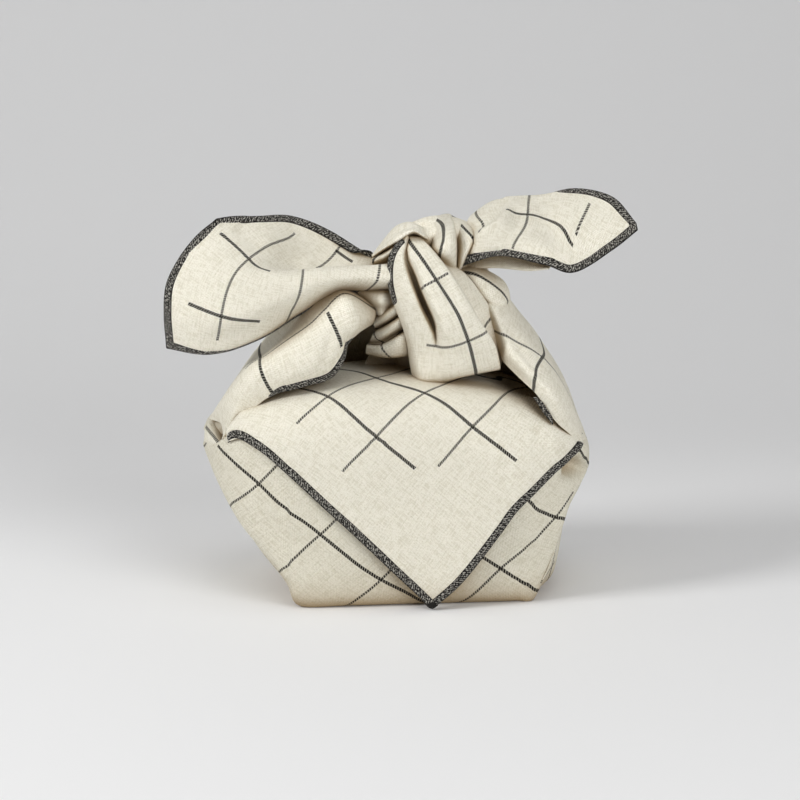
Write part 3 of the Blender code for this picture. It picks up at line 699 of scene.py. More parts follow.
def resampled(values, count):
    """Read a smooth curve through evenly numbered values at count even places."""
    values = np.asarray(values, float)
    last = len(values) - 1
    ends = np.concatenate(([2.0 * values[0] - values[1]], values, [2.0 * values[-1] - values[-2]]))
    spot = np.linspace(0.0, last, count)
    index = np.minimum(spot.astype(int), last - 1)
    part = (spot - index).reshape(-1, *[1] * (values.ndim - 1))
    before, start, end, after = (ends[index + step] for step in range(4))
    return (start + 0.5 * part * (end - before)
            + part ** 2 * (before - 2.5 * start + 2.0 * end - 0.5 * after)
            + part ** 3 * (1.5 * start - 0.5 * before - 1.5 * end + 0.5 * after))


def lengths(points):
    """Return the running length along a curve of points."""
    steps = np.linalg.norm(np.diff(points, axis=0), axis=-1)
    return np.concatenate((np.zeros((1, *steps.shape[1:])), np.cumsum(steps, axis=0)))


def evened(points, count, run=None):
    """Return a curve's points at even steps of a running length, its own unless given."""
    run = lengths(points) if run is None else run
    places = np.linspace(0.0, run[-1], count)
    return np.stack([np.interp(places, run, column) for column in points.T], axis=-1)


def smoothed(path, width):
    """Soften a path's small kinks, keeping its ends."""
    weights = np.hanning(width + 2)[1:-1]
    weights /= weights.sum()
    reach = width // 2
    start = 2.0 * path[0] - path[reach:0:-1]
    end = 2.0 * path[-1] - path[-2:-2 - reach:-1]
    held = np.concatenate((start, path, end))
    return np.stack([np.convolve(column, weights, mode="valid") for column in held.T], axis=-1)


def power(value, exponent):
    """Raise values to a power and keep their signs."""
    return np.sign(value) * np.abs(value) ** exponent


def unit(vectors):
    """Return vectors at length one."""
    return vectors / np.maximum(np.linalg.norm(vectors, axis=-1, keepdims=True), 1e-9)


def lattice(lines, along, across):
    """Return a grid of points over fold lines that all have the same number of points."""
    rows = np.stack([resampled(line, along) for line in lines])
    return resampled(rows, across)


def spread(values, rows, columns):
    """Read a grid smoothly at another number of rows and columns."""
    return resampled(resampled(values, rows).swapaxes(0, 1), columns).swapaxes(0, 1)


def normals(grid, closed=False):
    """Return unit normals of a grid, facing the side from which its rows turn clockwise."""
    if closed:
        ring = np.concatenate((grid[:, -2:-1], grid, grid[:, 1:2]), axis=1)
        run = ring[:, 2:] - ring[:, :-2]
    else:
        run = np.gradient(grid, axis=1)
    return unit(np.cross(run, np.gradient(grid, axis=0)))


def outward(rings):
    """Return the normals of closed rings, facing away from their middle."""
    out = normals(rings, closed=True)
    middle = rings[:, :-1].mean(axis=1, keepdims=True)
    return out * np.sign((out * (rings - middle)).sum())


# ---------------------------------------------------------------- creases and weave chart

def nearness(spots, path):
    """Return each spot's distance from a path, and how far along the path it is nearest."""
    best = np.full(spots.shape[:-1], np.inf)
    place = np.zeros(spots.shape[:-1])
    run = lengths(path)
    for start, end, begun in zip(path[:-1], path[1:], run[:-1]):
        step = end - start
        size = np.linalg.norm(step)
        share = np.clip(((spots - start) @ step) / size ** 2, 0.0, 1.0)
        away = np.linalg.norm(spots - start - share[..., None] * step, axis=-1)
        nearer = away < best
        best = np.where(nearer, away, best)
        place = np.where(nearer, (begun + share * size) / run[-1], place)
    return best, place


def creased(grid, out, rows):
    """Push the side of a grid that faces the eye into soft troughs and ridges."""
    facing = np.clip(-(out @ FORWARD) * 3.0, 0.0, 1.0)
    spots = drawn(grid)
    push = np.zeros(grid.shape[:2])
    for depth, width, points in rows:
        away, place = nearness(spots, resampled(points, 4 * len(points)))
        fade = np.sqrt(np.clip(4.0 * place * (1.0 - place), 0.0, 1.0))
        push += depth * fade * np.exp(-(away / width) ** 2)
    return grid + (push * facing)[..., None] * out


def rumpled(grid, out, height, size, seed):
    """Give a grid the small unevenness of handled cloth."""
    shift = Vector([seed * part for part in SEED_SHIFT])
    flat = grid.reshape(-1, 3)
    bumps = np.array([noise.noise(Vector(point / size) + shift) for point in flat])
    return grid + height * bumps.reshape(*grid.shape[:2], 1) * out


def triangles(rows, columns):
    """Return the point numbers of a grid's triangles."""
    corner = np.arange(rows * columns).reshape(rows, columns)
    first = np.stack((corner[:-1, :-1], corner[:-1, 1:], corner[1:, 1:]), axis=-1)
    second = np.stack((corner[:-1, :-1], corner[1:, 1:], corner[1:, :-1]), axis=-1)
    return np.concatenate((first.reshape(-1, 3), second.reshape(-1, 3)))


def laid_down(spots, faces):
    """Return the corners of triangles laid in a plane, the first corner of each at its origin."""
    side = spots[faces[:, 1]] - spots[faces[:, 0]]
    other = spots[faces[:, 2]] - spots[faces[:, 0]]
    length = np.maximum(np.linalg.norm(side, axis=1), TINY)
    along = (other * side).sum(1) / length
    shape = np.zeros((len(faces), 3, 2))
    shape[:, 1, 0], shape[:, 2, 0] = length, along
    shape[:, 2, 1] = np.sqrt(np.maximum((other ** 2).sum(1) - along ** 2, 1e-9))
    return shape


def firmness(faces, shape, total):
    """Return how much each edge of a triangle counts for, and the matrix of them all."""
    stiff = np.zeros((total, total))
    weights = np.empty((len(faces), 3))
    for start, end, apex in CORNERS:
        one, two = shape[:, start] - shape[:, apex], shape[:, end] - shape[:, apex]
        turn = np.abs(one[:, 0] * two[:, 1] - one[:, 1] * two[:, 0])
        weight = np.clip((one * two).sum(1) / np.maximum(turn, TINY), *FIRMNESS)
        weights[:, start] = weight
        for head, tail in ((start, end), (end, start)):
            np.add.at(stiff, (faces[:, head], faces[:, head]), weight)
            np.add.at(stiff, (faces[:, head], faces[:, tail]), -weight)
    return weights, stiff


def flattened(grid):
    """Unroll a folded grid onto the cloth's plane with as little stretch as it allows."""
    rows, columns = (min(UNROLL_SIZE, count) for count in grid.shape[:2])
    coarse = spread(grid, rows, columns)
    over = lengths(coarse.swapaxes(0, 1)).T
    down = lengths(coarse)
    over = over - over[:, columns // 2, None]
    down = down - down[rows // 2]
    flat = np.stack((over, down), axis=-1).reshape(-1, 2)
    total = len(flat)
    faces = triangles(rows, columns)
    shape = laid_down(coarse.reshape(-1, 3), faces)
    weights, stiff = firmness(faces, shape, total)
    solve = np.linalg.inv(stiff + TINY * np.eye(total))
    edges = [(start, end, shape[:, start] - shape[:, end]) for start, end, apex in CORNERS]
    for _ in range(UNROLL_ROUNDS):
        cosine, sine = np.zeros(len(faces)), np.zeros(len(faces))
        for start, end, rest in edges:
            now = flat[faces[:, start]] - flat[faces[:, end]]
            cosine += weights[:, start] * (rest * now).sum(1)
            sine += weights[:, start] * (rest[:, 0] * now[:, 1] - rest[:, 1] * now[:, 0])
        size = np.maximum(np.hypot(cosine, sine), 1e-9)
        cosine, sine = cosine / size, sine / size
        pull = np.zeros((total, 2))
        for start, end, rest in edges:
            turned = np.stack((cosine * rest[:, 0] - sine * rest[:, 1],
                               sine * rest[:, 0] + cosine * rest[:, 1]), axis=-1)
            turned *= weights[:, start, None]
            np.add.at(pull, faces[:, start], turned)
            np.add.at(pull, faces[:, end], -turned)
        flat = solve @ pull
    return spread(flat.reshape(rows, columns, 2), *grid.shape[:2])


def traced(rows, spots, plane, hidden):
    """Find charted lines on a sheet: marks on the cloth's plane by family, and the lines' ends."""
    marks = {"thin": [], "thick": []}
    ends = []
    for family, number, free_start, free_end, points in rows:
        path = evened(resampled(points, 6 * len(points)), 3 * len(points))
        nearest = [int(np.argmin(np.linalg.norm(spots - spot, axis=1) + 1e3 * hidden))
                   for spot in path]
        marks[family] += [(*plane[index], number) for index in nearest]
        ends.append((family, number, free_start, free_end, nearest[0], nearest[-1]))
    return {family: np.array(found).reshape(-1, 3) for family, found in marks.items()}, ends


def straight_check(marks, pitch):
    least, best = math.inf, None
    for degrees in range(0, 360, TURN_STEP):
        turn = math.radians(degrees)
        for side in (1.0, -1.0):
            axes = {"thin": np.array((math.cos(turn), math.sin(turn))) / pitch,
                    "thick": side * np.array((-math.sin(turn), math.cos(turn))) / pitch}
            cost, fits = 0.0, {}
            for family, axis in axes.items():
                gap = marks[family][:, 2] - marks[family][:, :2] @ axis
                offset = float(gap.mean()) if len(gap) else UNCHARTED
                cost += float(((gap - offset) ** 2).sum())
                fits[family] = (axis, offset)
            if cost < least:
                least, best = cost, fits
    return best


def line_numbers(plane, found, axis, offset, pitch):
    """Return where points lie among a family's lines, bent to run through the marks found."""
    value = plane @ axis + offset
    if not len(found):
        return value
    gap = found[:, 2] - found[:, :2] @ axis - offset
    apart = np.linalg.norm(found[:, None, :2] - found[None, :, :2], axis=-1)
    for share, firm in BENDS:
        reach = share * pitch
        kernel = np.exp(-(apart / reach) ** 2)
        weights = np.linalg.solve(kernel + firm * np.eye(len(found)), gap)
        gap = gap - kernel @ weights
        for (along, over, _), weight in zip(found, weights):
            value = value + weight * np.exp(-((plane[:, 0] - along) ** 2
                                              + (plane[:, 1] - over) ** 2) / reach ** 2)
    return value


def line_room(lines, other, ends, pitch, others):
    """Return how far points are from where their line stops, negative past the stop."""
    room = np.full(len(lines), FAR if others else -FAR)
    for number, free_start, free_end, first, last in ends:
        start, end = other[first], other[last]
        sense = 1.0 if end > start else -1.0
        left = np.full(len(lines), FAR)
        if free_start:
            left = np.minimum(left, pitch * sense * (other - start))
        if free_end:
            left = np.minimum(left, pitch * sense * (end - other))
        room = np.where(np.round(lines) == number, left, room)
    return room


def steepness(grid, values):
    """Return how fast values change over a grid's surface."""
    down, over = np.gradient(grid, axis=0), np.gradient(grid, axis=1)
    fall, run = np.gradient(values, axis=0), np.gradient(values, axis=1)
    tall, wide, skew = (down ** 2).sum(-1), (over ** 2).sum(-1), (down * over).sum(-1)
    flat = np.maximum(tall * wide - skew ** 2, 1e-6 * tall * wide + 1e-12)
    square = (wide * fall ** 2 - 2.0 * skew * fall * run + tall * run ** 2) / flat
    return np.clip(np.sqrt(np.maximum(square, 0.0)), *STRETCH)


def chart(name, grid, out, others=False):
    """Lay the woven check over a grid so its lines run where they are charted.

    Returns UV maps: the cloth's own coordinates in millimetres, how far each point is from
    where its line stops, and how much each coordinate is drawn out. Lines that aren't charted
    show only with others.
    """
    pitch = settings().check_pitch / MM
    plane = flattened(grid).reshape(-1, 2)
    hidden = (out @ FORWARD).reshape(-1) > EDGE_ON
    marks, ends = traced(LINES.get(name, ()), drawn(grid).reshape(-1, 2), plane, hidden)
    numbers = {family: line_numbers(plane, marks[family], axis, offset, pitch)
               for family, (axis, offset) in straight_check(marks, pitch).items()}
    rooms = [line_room(numbers[family], numbers[other],
                       [row[1:] for row in ends if row[0] == family], pitch, others)
             for family, other in (("thin", "thick"), ("thick", "thin"))]
    shape = (*grid.shape[:2], 2)
    cloth = np.stack((numbers["thin"], numbers["thick"]), axis=-1).reshape(shape) * pitch
    slopes = np.stack([steepness(grid, cloth[..., part]) for part in range(2)], axis=-1)
    return {"cloth": cloth, "line_room": np.stack(rooms, axis=-1).reshape(shape),
            "line_scale": slopes / MM}


# ---------------------------------------------------------------- meshes

def link_mesh(name, points, faces, uvs, material):
    """Make a smooth object from millimetre points with its UV maps in metres."""
    mesh = bpy.data.meshes.new(name)
    mesh.from_pydata((np.asarray(points) * MM).tolist(), [], faces)
    corners = np.empty(len(mesh.loops), dtype=np.int32)
    mesh.loops.foreach_get("vertex_index", corners)
    for layer, values in uvs.items():
        flat = (np.asarray(values)[corners] * MM).astype(np.float32).ravel()
        mesh.uv_layers.new(name=layer).data.foreach_set("uv", flat)
    shape = bmesh.new()
    shape.from_mesh(mesh)
    bmesh.ops.remove_doubles(shape, verts=shape.verts, dist=1e-7)
    bmesh.ops.recalc_face_normals(shape, faces=shape.faces)
    shape.to_mesh(mesh)
    shape.free()
    mesh.shade_smooth()
    mesh.materials.append(material)
    thing = bpy.data.objects.new(name, mesh)
    bpy.context.scene.collection.objects.link(thing)
    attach(thing, BODY)
    return thing


def grid_faces(rows, columns, start=0, flip=False):
    """Return the quads of a grid whose points are numbered row by row."""
    faces = []
    for row in range(rows - 1):
        for column in range(columns - 1):
            corner = start + row * columns + column
            quad = (corner, corner + 1, corner + columns + 1, corner + columns)
            faces.append(quad[::-1] if flip else quad)
    return faces


def sheet_object(name, grid, out, maps, material):
    """Make a closed sheet of the cloth's thickness about a grid."""
    rows, columns = grid.shape[:2]
    half = 0.5 * SHEET * out
    points = np.concatenate(((grid + half).reshape(-1, 3), (grid - half).reshape(-1, 3)))
    total = rows * columns
    faces = grid_faces(rows, columns) + grid_faces(rows, columns, total, flip=True)
    rim = list(range(columns - 1))
    rim += [row * columns + columns - 1 for row in range(rows - 1)]
    rim += [(rows - 1) * columns + column for column in range(columns - 1, 0, -1)]
    rim += [row * columns for row in range(rows - 1, 0, -1)]
    for corner, follow in zip(rim, rim[1:] + rim[:1]):
        faces.append((follow, corner, total + corner, total + follow))
    both = {layer: np.concatenate((values.reshape(-1, 2),) * 2) for layer, values in maps.items()}
    return link_mesh(name, points, faces, both, material)


def flat_size(grid, layers=1):
    """Return the mean width of one of a sheet's layers, and its mean length, in metres."""
    wide = float(lengths(grid.swapaxes(0, 1))[-1].mean() * MM)
    long = float(lengths(grid)[-1].mean() * MM)
    return round(wide / layers, 3), round(long, 3)


def tube_object(name, grid, maps, material):
    """Make a closed body from a grid whose columns close on themselves."""
    rows, columns = grid.shape[:2]
    total = rows * columns
    centres = np.stack((grid[0, :-1].mean(axis=0), grid[-1, :-1].mean(axis=0)))
    points = np.concatenate((grid.reshape(-1, 3), centres))
    uvs = {}
    for layer, values in maps.items():
        middle = np.stack((values[0].mean(axis=0), values[-1].mean(axis=0)))
        uvs[layer] = np.concatenate((values.reshape(-1, 2), middle))
    faces = grid_faces(rows, columns)
    for column in range(columns - 1):
        last = total - columns + column
        faces += [(column + 1, column, total), (last, last + 1, total + 1)]
    return link_mesh(name, points, faces, uvs, material)


def halves_object(name, halves, material):
    """Make a closed body from the grids of its halves and close its ends."""
    points, faces = [], []
    uvs = {layer: [] for layer in halves[0][1]}
    start = 0
    for grid, maps in halves:
        rows, columns = grid.shape[:2]
        points.append(grid.reshape(-1, 3))
        for layer, values in maps.items():
            uvs[layer].append(values.reshape(-1, 2))
        faces += grid_faces(rows, columns, start)
        for row in (0, rows - 1):
            first = start + row * columns
            hub = sum(len(part) for part in points)
            points.append(np.concatenate([part[row] for part, _ in halves]).mean(0)[None])
            for layer, values in maps.items():
                uvs[layer].append(values[row].mean(0)[None])
            for column in range(columns - 1):
                fan = (first + column, first + column + 1, hub)
                faces.append(fan if row else fan[::-1])
        start = sum(len(part) for part in points)
    uvs = {layer: np.concatenate(values) for layer, values in uvs.items()}
    return link_mesh(name, np.concatenate(points), faces, uvs, material)


def border(grid, out, side, part=slice(None)):
    """Return part of a border: its points, the directions into the sheet, and its normals."""
    edge, inside, facing = {
        "top": (grid[-1], grid[-3], out[-1]),
        "bottom": (grid[0], grid[2], out[0]),
        "start": (grid[:, 0], grid[:, 2], out[:, 0]),
        "end": (grid[:, -1], grid[:, -3], out[:, -1])}[side]
    return edge[part], (inside - edge)[part], facing[part]


def joined(*pieces):
    """Join runs of border points into one, smoothing their directions over the corner."""
    edge, inward, out = (np.concatenate([piece[part] for piece in pieces]) for part in range(3))
    keep = np.concatenate(([True], np.linalg.norm(np.diff(edge, axis=0), axis=1) > SAME_SPOT))
    return (edge[keep], smoothed(unit(inward[keep]), BORDER_SOFT),
            smoothed(out[keep], BORDER_SOFT))


def hem_object(name, edge, inward, out, share=1.0, taper=(2.0, 2.0)):
    """Make the overlocked edge: a flat stitched tube that tapers over a length at each end."""
    width = share * settings().hem_width / MM
    run = lengths(edge)
    count = max(int(run[-1] / HEM_STEP), 8)
    places = np.linspace(0.0, run[-1], count)
    rows = evened(np.concatenate((edge, inward, out), axis=1), count, run)
    edge, inward, out = rows[:, :3], rows[:, 3:6], rows[:, 6:]
    along = unit(np.gradient(edge, axis=0))
    out = unit(out - (out * along).sum(1, keepdims=True) * along)
    level = np.cross(out, along)
    inward = level * np.sign((level * inward).sum())
    turn = 2.0 * math.pi * np.arange(HEM_SIDES + 1) / HEM_SIDES
    wide, thick = power(np.cos(turn), HEM_SQUARE), power(np.sin(turn), HEM_SQUARE)
    stitches = places[:, None] / STITCH + STITCH_LEAN * wide[None, :]
    ripple = 1.0 + STITCH_DEPTH * np.sin(2.0 * math.pi * stitches)
    rest = np.stack((places / taper[0], (places[-1] - places) / taper[1])).min(axis=0)
    fade = HEM_TIP + (1.0 - HEM_TIP) * np.sin(0.5 * math.pi * np.clip(rest, 0.0, 1.0))
    fade = fade[:, None, None]
    centre = edge + (0.5 * width * fade[:, 0] - HEM_PROUD) * inward
    grid = (centre[:, None] + 0.5 * width * fade * wide[None, :, None] * -inward[:, None]
            + HEM_HALF * fade * (ripple * thick[None, :])[..., None] * out[:, None])
    around = np.broadcast_to(0.5 * width * (1.0 - wide), grid.shape[:2])
    cloth = np.stack((np.broadcast_to(places[:, None], grid.shape[:2]), around), axis=-1)
    return tube_object(name, grid, {"cloth": cloth}, thread_material())


def thread_knot(name, middle):
    """Make the small knot the overlocking thread ends in: a lumpy ball."""
    bpy.ops.mesh.primitive_uv_sphere_add(segments=28, ring_count=18, radius=1.0)
    ball = bpy.context.active_object
    ball.name = ball.data.name = name
    for vertex in ball.data.vertices:
        across, deep, high = vertex.co
        lump = 1.0 + KNOT_LUMP * math.sin(4.0 * across + 5.0 * high) * math.cos(5.0 * deep)
        vertex.co = Vector(middle) * MM + Vector(KNOT_SIZE) * (0.5 * MM * lump) * vertex.co
    ball.data.shade_smooth()
    ball.data.materials.append(thread_material())
    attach(ball, BODY)
    return ball


# ---------------------------------------------------------------- materials

def node(tree, kind, **values):
    """Add a shader node and set its plain values or inputs by name."""
    made = tree.nodes.new(kind)
    for key, value in values.items():
        if hasattr(made, key):
            setattr(made, key, value)
        else:
            made.inputs[key].default_value = value
    return made


def maths(tree, operation, first, second=None):
    """Add a maths node and return its output."""
    made = tree.nodes.new("ShaderNodeMath")
    made.operation = operation
    for place, value in enumerate((first, second)):
        if value is None:
            continue
        if isinstance(value, (int, float)):
            made.inputs[place].default_value = value
        else:
            tree.links.new(value, made.inputs[place])
    return made.outputs[0]


def wave(tree, value, length):
    """Return a sine of a value that repeats over a length."""
    return maths(tree, "SINE", maths(tree, "MULTIPLY", value, 2.0 * math.pi / length))


def ramp(tree, value, low, high, to_low=0.0, to_high=1.0):
    """Map a value smoothly from one range to another."""
    made = tree.nodes.new("ShaderNodeMapRange")
    made.interpolation_type = "SMOOTHSTEP"
    tree.links.new(value, made.inputs[0])
    for place, number in enumerate((low, high, to_low, to_high), start=1):
        made.inputs[place].default_value = number
    return made.outputs[0]


def blend(tree, share, first, second):
    """Mix two colours by a share and return the mix."""
    made = tree.nodes.new("ShaderNodeMix")
    made.data_type = "RGBA"
    for place, value in ((0, share), (6, first), (7, second)):
        if hasattr(value, "is_linked"):
            tree.links.new(value, made.inputs[place])
        else:
            made.inputs[place].default_value = (*value, 1.0)
    return made.outputs[2]


def streaks(tree, coordinates, across, along, detail=2.0):
    """Return noise drawn out along one thread direction."""
    stretch = node(tree, "ShaderNodeMapping")
    stretch.inputs["Scale"].default_value = (1.0 / across, 1.0 / along, 1.0)
    tree.links.new(coordinates, stretch.inputs["Vector"])
    made = node(tree, "ShaderNodeTexNoise", noise_dimensions="2D", Scale=1.0, Detail=detail)
    tree.links.new(stretch.outputs[0], made.inputs["Vector"])
    return made.outputs["Fac"]


def split(tree, vector):
    """Return the first two parts of a vector."""
    made = node(tree, "ShaderNodeSeparateXYZ")
    tree.links.new(vector, made.inputs[0])
    return made.outputs[0], made.outputs[1]


def uv_map(tree, layer):
    """Return one of the mesh's UV maps as a vector."""
    return node(tree, "ShaderNodeUVMap", uv_map=layer).outputs[0]


def bumped(tree, shader, height, depth):
    """Give a shader the relief of a height that is drawn out over a depth in metres."""
    bump = node(tree, "ShaderNodeBump", Strength=BUMP, Distance=depth)
    tree.links.new(height, bump.inputs["Height"])
    tree.links.new(bump.outputs[0], shader.inputs["Normal"])


def made_once(name, kind, fill, *details):
    """Return the named material, made and filled in the first time it is asked for."""
    material = bpy.data.materials.get(name)
    if material is None:
        material = bpy.data.materials.new(name)
        material.use_nodes = True
        shader = material.node_tree.nodes["Principled BSDF"]
        shader.inputs["Roughness"].default_value = ROUGHNESS[kind]
        fill(material.node_tree, shader, *details)
    return material


def weave_tone_and_shade(tree, place, weave, slubs, light):
    """Return the weave's colour: slubs, threads, grain, clouds, flecks and painted hollow shade."""
    pale = tuple(min(1.0, LIT_AND_PALE_TINT * part) for part in light)
    deep = tuple(part * tint for part, tint in zip(light, SHADED_AND_DARK_TINT))
    clouds = streaks(tree, place, *CLOUD_NOISE)
    flecks = ramp(tree, streaks(tree, place, *FLECK_NOISE), *FLECK_RANGE)
    grain = streaks(tree, place, *GRAIN_NOISE)
    # Painted shade: ambient occlusion turns the colour warm brown in hollows and between pieces
    pocket = node(tree, "ShaderNodeAmbientOcclusion", Distance=HOLLOW_SHADE_REACH)
    pocket.samples = HOLLOW_SHADE_SAMPLES
    shade = ramp(tree, pocket.outputs["AO"], *HOLLOW_SHADE_RANGE)
    # Painted light and shade besides random tone: raised slubs go paler and the weave's sunk
    # threads darker, while grain and clouds vary at random
    colour = blend(tree, ramp(tree, slubs, *SLUB_RANGE), deep, pale)
    for share, tone in ((ramp(tree, weave, *WEAVE_RANGE), deep),
                        (ramp(tree, grain, *GRAIN_RANGE), deep),
                        (maths(tree, "MULTIPLY", clouds, CLOUD_SHARE), deep),
                        (maths(tree, "MULTIPLY", flecks, FLECK_SHARE), FLECK_COLOUR),
                        (maths(tree, "MULTIPLY", shade, HOLLOW_SHADE_SHARE), HOLLOW_SHADE_COLOUR)):
        colour = blend(tree, share, colour, tone)
    return colour


def woven_lines(tree, place, over, along):
    """Return how strongly the check's dark thread shows at each spot of the cloth."""
    sizes = settings()
    calc = partial(maths, tree)
    thin_room, thick_room = split(tree, uv_map(tree, "line_room"))
    thin_scale, thick_scale = split(tree, uv_map(tree, "line_scale"))
    ragged = calc("MULTIPLY", calc("SUBTRACT", streaks(tree, place, *RAGGED_NOISE), 0.5),
                  LINE_RAGGED)
    masks = []
    for value, run, room, scale, width, (faint, solid) in (
            (over, along, thin_room, thin_scale, sizes.thin_line, THIN_TONE),
            (along, over, thick_room, thick_scale, sizes.thick_line, THICK_TONE)):
        turns = calc("DIVIDE", value, sizes.check_pitch)
        off = calc("ABSOLUTE", calc("SUBTRACT", turns, calc("ROUND", turns)))
        away = calc("DIVIDE", calc("MULTIPLY", off, sizes.check_pitch), scale)
        away = calc("ADD", away, ragged)
        mark = ramp(tree, away, 0.5 * width - LINE_SOFT, 0.5 * width + LINE_SOFT, 1.0, 0.0)
        mark = calc("MULTIPLY", mark, calc("GREATER_THAN", room, 0.0))
        beads = wave(tree, calc("ADD", run, calc("DIVIDE", value, BEAD_SLANT)), BEAD)
        beads = calc("ADD", beads, streaks(tree, place, *BEAD_NOISE))
        masks.append(calc("MULTIPLY", mark, ramp(tree, beads, *BEAD_RANGE, faint, solid)))
    return calc("MAXIMUM", *masks)


def weave_look(tree, shader, light):
    """Fill in the plain weave and its dark windowpane lines."""
    sizes = settings()
    calc = partial(maths, tree)
    shader.inputs["Sheen Roughness"].default_value = SHEEN_ROUGHNESS
    place = uv_map(tree, "cloth")
    over, along = split(tree, place)
    weave = calc("MULTIPLY", *(wave(tree, part, sizes.thread_pitch) for part in (over, along)))
    slubs = calc("ADD", streaks(tree, place, *SLUB_NOISE), streaks(tree, place, *SLUB_NOISE[::-1]))
    lines = woven_lines(tree, place, over, along)
    for socket, on_cloth, on_line in CLOTH_SHINE:
        tree.links.new(ramp(tree, lines, 0.0, 1.0, on_cloth, on_line), shader.inputs[socket])
    colour = blend(tree, lines, weave_tone_and_shade(tree, place, weave, slubs, light), sizes.line_colour)
    tree.links.new(colour, shader.inputs["Base Color"])
    relief = calc("ADD", calc("MULTIPLY", weave, RELIEF["weave"]),
                  calc("MULTIPLY", slubs, RELIEF["slubs"]))
    relief = calc("ADD", relief, calc("MULTIPLY", lines, RELIEF["lines"]))
    bumped(tree, shader, relief, CLOTH_DEPTH)


def thread_look(tree, shader):
    """Fill in the twisted strands of the overlocking thread."""
    sizes = settings()
    calc = partial(maths, tree)
    for socket, value in THREAD_SHINE:
        shader.inputs[socket].default_value = value
    place = uv_map(tree, "cloth")
    along, around = split(tree, place)
    half = 0.5 * sizes.hem_width
    phase = calc("ADD", calc("DIVIDE", along, STITCH * MM), calc("DIVIDE", around, SLANT * half))
    phase = calc("ADD", phase, calc("MULTIPLY", streaks(tree, place, *WANDER_NOISE), WANDER))
    twist, fine = wave(tree, phase, 1.0), wave(tree, phase, 1.0 / 3.0)
    speck = streaks(tree, place, *STRAND_NOISE)
    mix = calc("ADD", calc("MULTIPLY", twist, WAVE_SHARE), calc("MULTIPLY", fine, FINE_SHARE))
    mix = calc("ADD", mix, calc("MULTIPLY", speck, STRAND_SHARE))
    edges = calc("ABSOLUTE", calc("SUBTRACT", calc("DIVIDE", around, half), 1.0))
    rim = calc("MULTIPLY", ramp(tree, edges, *RIM_RANGE), RIM_SHARE)
    share = calc("MULTIPLY", ramp(tree, mix, *THREAD_RANGE), calc("SUBTRACT", 1.0, rim))
    colour = blend(tree, share, sizes.line_colour, sizes.thread_colour)
    tree.links.new(colour, shader.inputs["Base Color"])
    bumped(tree, shader, calc("ADD", twist, speck), THREAD_DEPTH)


def paper_look(tree, shader):
    """Fill in the pale paper, with painted shade: a little darker from where it curves up behind.
    """
    place = node(tree, "ShaderNodeTexCoord").outputs["Object"]
    # Painted shade: the paper curving up into the wall takes the darker tone
    colour = blend(tree, ramp(tree, split(tree, place)[1], *PAPER_SHADE_RANGE), *PAPER_LIT_AND_SHADED)
    tree.links.new(colour, shader.inputs["Base Color"])


def cloth_material(shaded=False):
    """Return the off-white weave, or a duller copy of it with the lower cloth's shade painted in.
    """
    sizes = settings()
    if shaded:
        return made_once("cotton_linen_shaded", "cloth", weave_look, sizes.shaded_colour)
    return made_once("cotton_linen_weave", "cloth", weave_look, sizes.cloth_colour)


def thread_material():
    """Return the black and grey thread of the overlocked edge."""
    return made_once("overlock_thread", "thread", thread_look)


# ---------------------------------------------------------------- bundle

def bundle_rings(swell, sections, steps):
    """Return the bundle's sections as rows, each a closed ring that starts under the back."""
    table = resampled(BUNDLE, sections)
    x, low, high, front, back = (table[:, column][:, None] for column in range(5))
    turn = (2.0 * math.pi * np.linspace(0.0, 1.0, steps + 1) - 0.25 * math.pi)[None, :]
    turn = turn + 0.0 * x
    boxy = np.where(np.sin(turn) < 0.0, BASE_BOXINESS, TOP_BOXINESS)
    z = 0.5 * (low + high) + (0.5 * (high - low) + swell) * power(np.sin(turn), 2.0 / boxy)
    side = power(np.cos(turn), 2.0 / boxy)
    y = 0.5 * (front + back) + (0.5 * (back - front) + swell) * side
    y = y + OVERHANG * (z - MID_HEIGHT) * side
    return np.stack((x + 0.0 * z, y, np.maximum(z, 0.0)), axis=-1)


class FUROSHIKI_OT_bundle(bpy.types.Operator):
    """Make the cloth that wraps the bundle, flat underneath and full at its sides."""

    bl_idname = "furoshiki.bundle"
    bl_label = "Bundle"

    def execute(self, context):
        rings = bundle_rings(0.0, *GRIDS["bundle"])
        rings = np.stack([evened(ring, len(ring)) for ring in rings])
        out = outward(rings)
        shaped = rumpled(creased(rings, out, CREASES["bundle"]), out, *RUMPLES["bundle"])
        rings = np.where(rings[..., 2:] > BASE_FLAT, shaped, rings)
        under = rings.shape[1] // 8
        rings, out = (np.roll(part[:, :-1], under, axis=1) for part in (rings, out))
        half = rings.shape[1] // 2
        halves = []
        for name, start in (("bundle_back", 0), ("bundle", half)):
            reach = np.arange(start, start + half + 1) % rings.shape[1]
            grid = rings[:, reach]
            halves.append((grid, chart(name, grid, out[:, reach], others=True)))
        # Painted shade: the bundle's cloth takes the duller shaded copy of the cloth's colour
        bundle = halves_object("bundle_cloth", halves, cloth_material(shaded=True))
        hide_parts(SOLID)
        return {"FINISHED"}


# ---------------------------------------------------------------- flap

def draped_over(spots, tree):
    """Return where drawn spots fall on a closed surface, as seen from the eye."""
    before = np.full((*spots.shape[:-1], 1), BEFORE_ALL)
    ahead = seen(np.concatenate((spots, before), axis=-1))
    landed = []
    for spot in ahead.reshape(-1, 3):
        ray = Vector(spot - EYE).normalized()
        hit = tree.ray_cast(Vector(EYE), ray)[0]
        if hit is None:
            hit = tree.find_nearest(Vector(EYE) + ray * (-EYE[1] / ray.y))[0]
        landed.append(hit[:])
    return np.array(landed).reshape(ahead.shape)


def surface_normals(spots, tree):
    """Return a closed surface's normals, turned to the eye, where spots lie nearest to it."""
    out = np.array([tree.find_nearest(Vector(spot))[1][:] for spot in spots])
    return -out * np.sign(out @ FORWARD)[:, None]


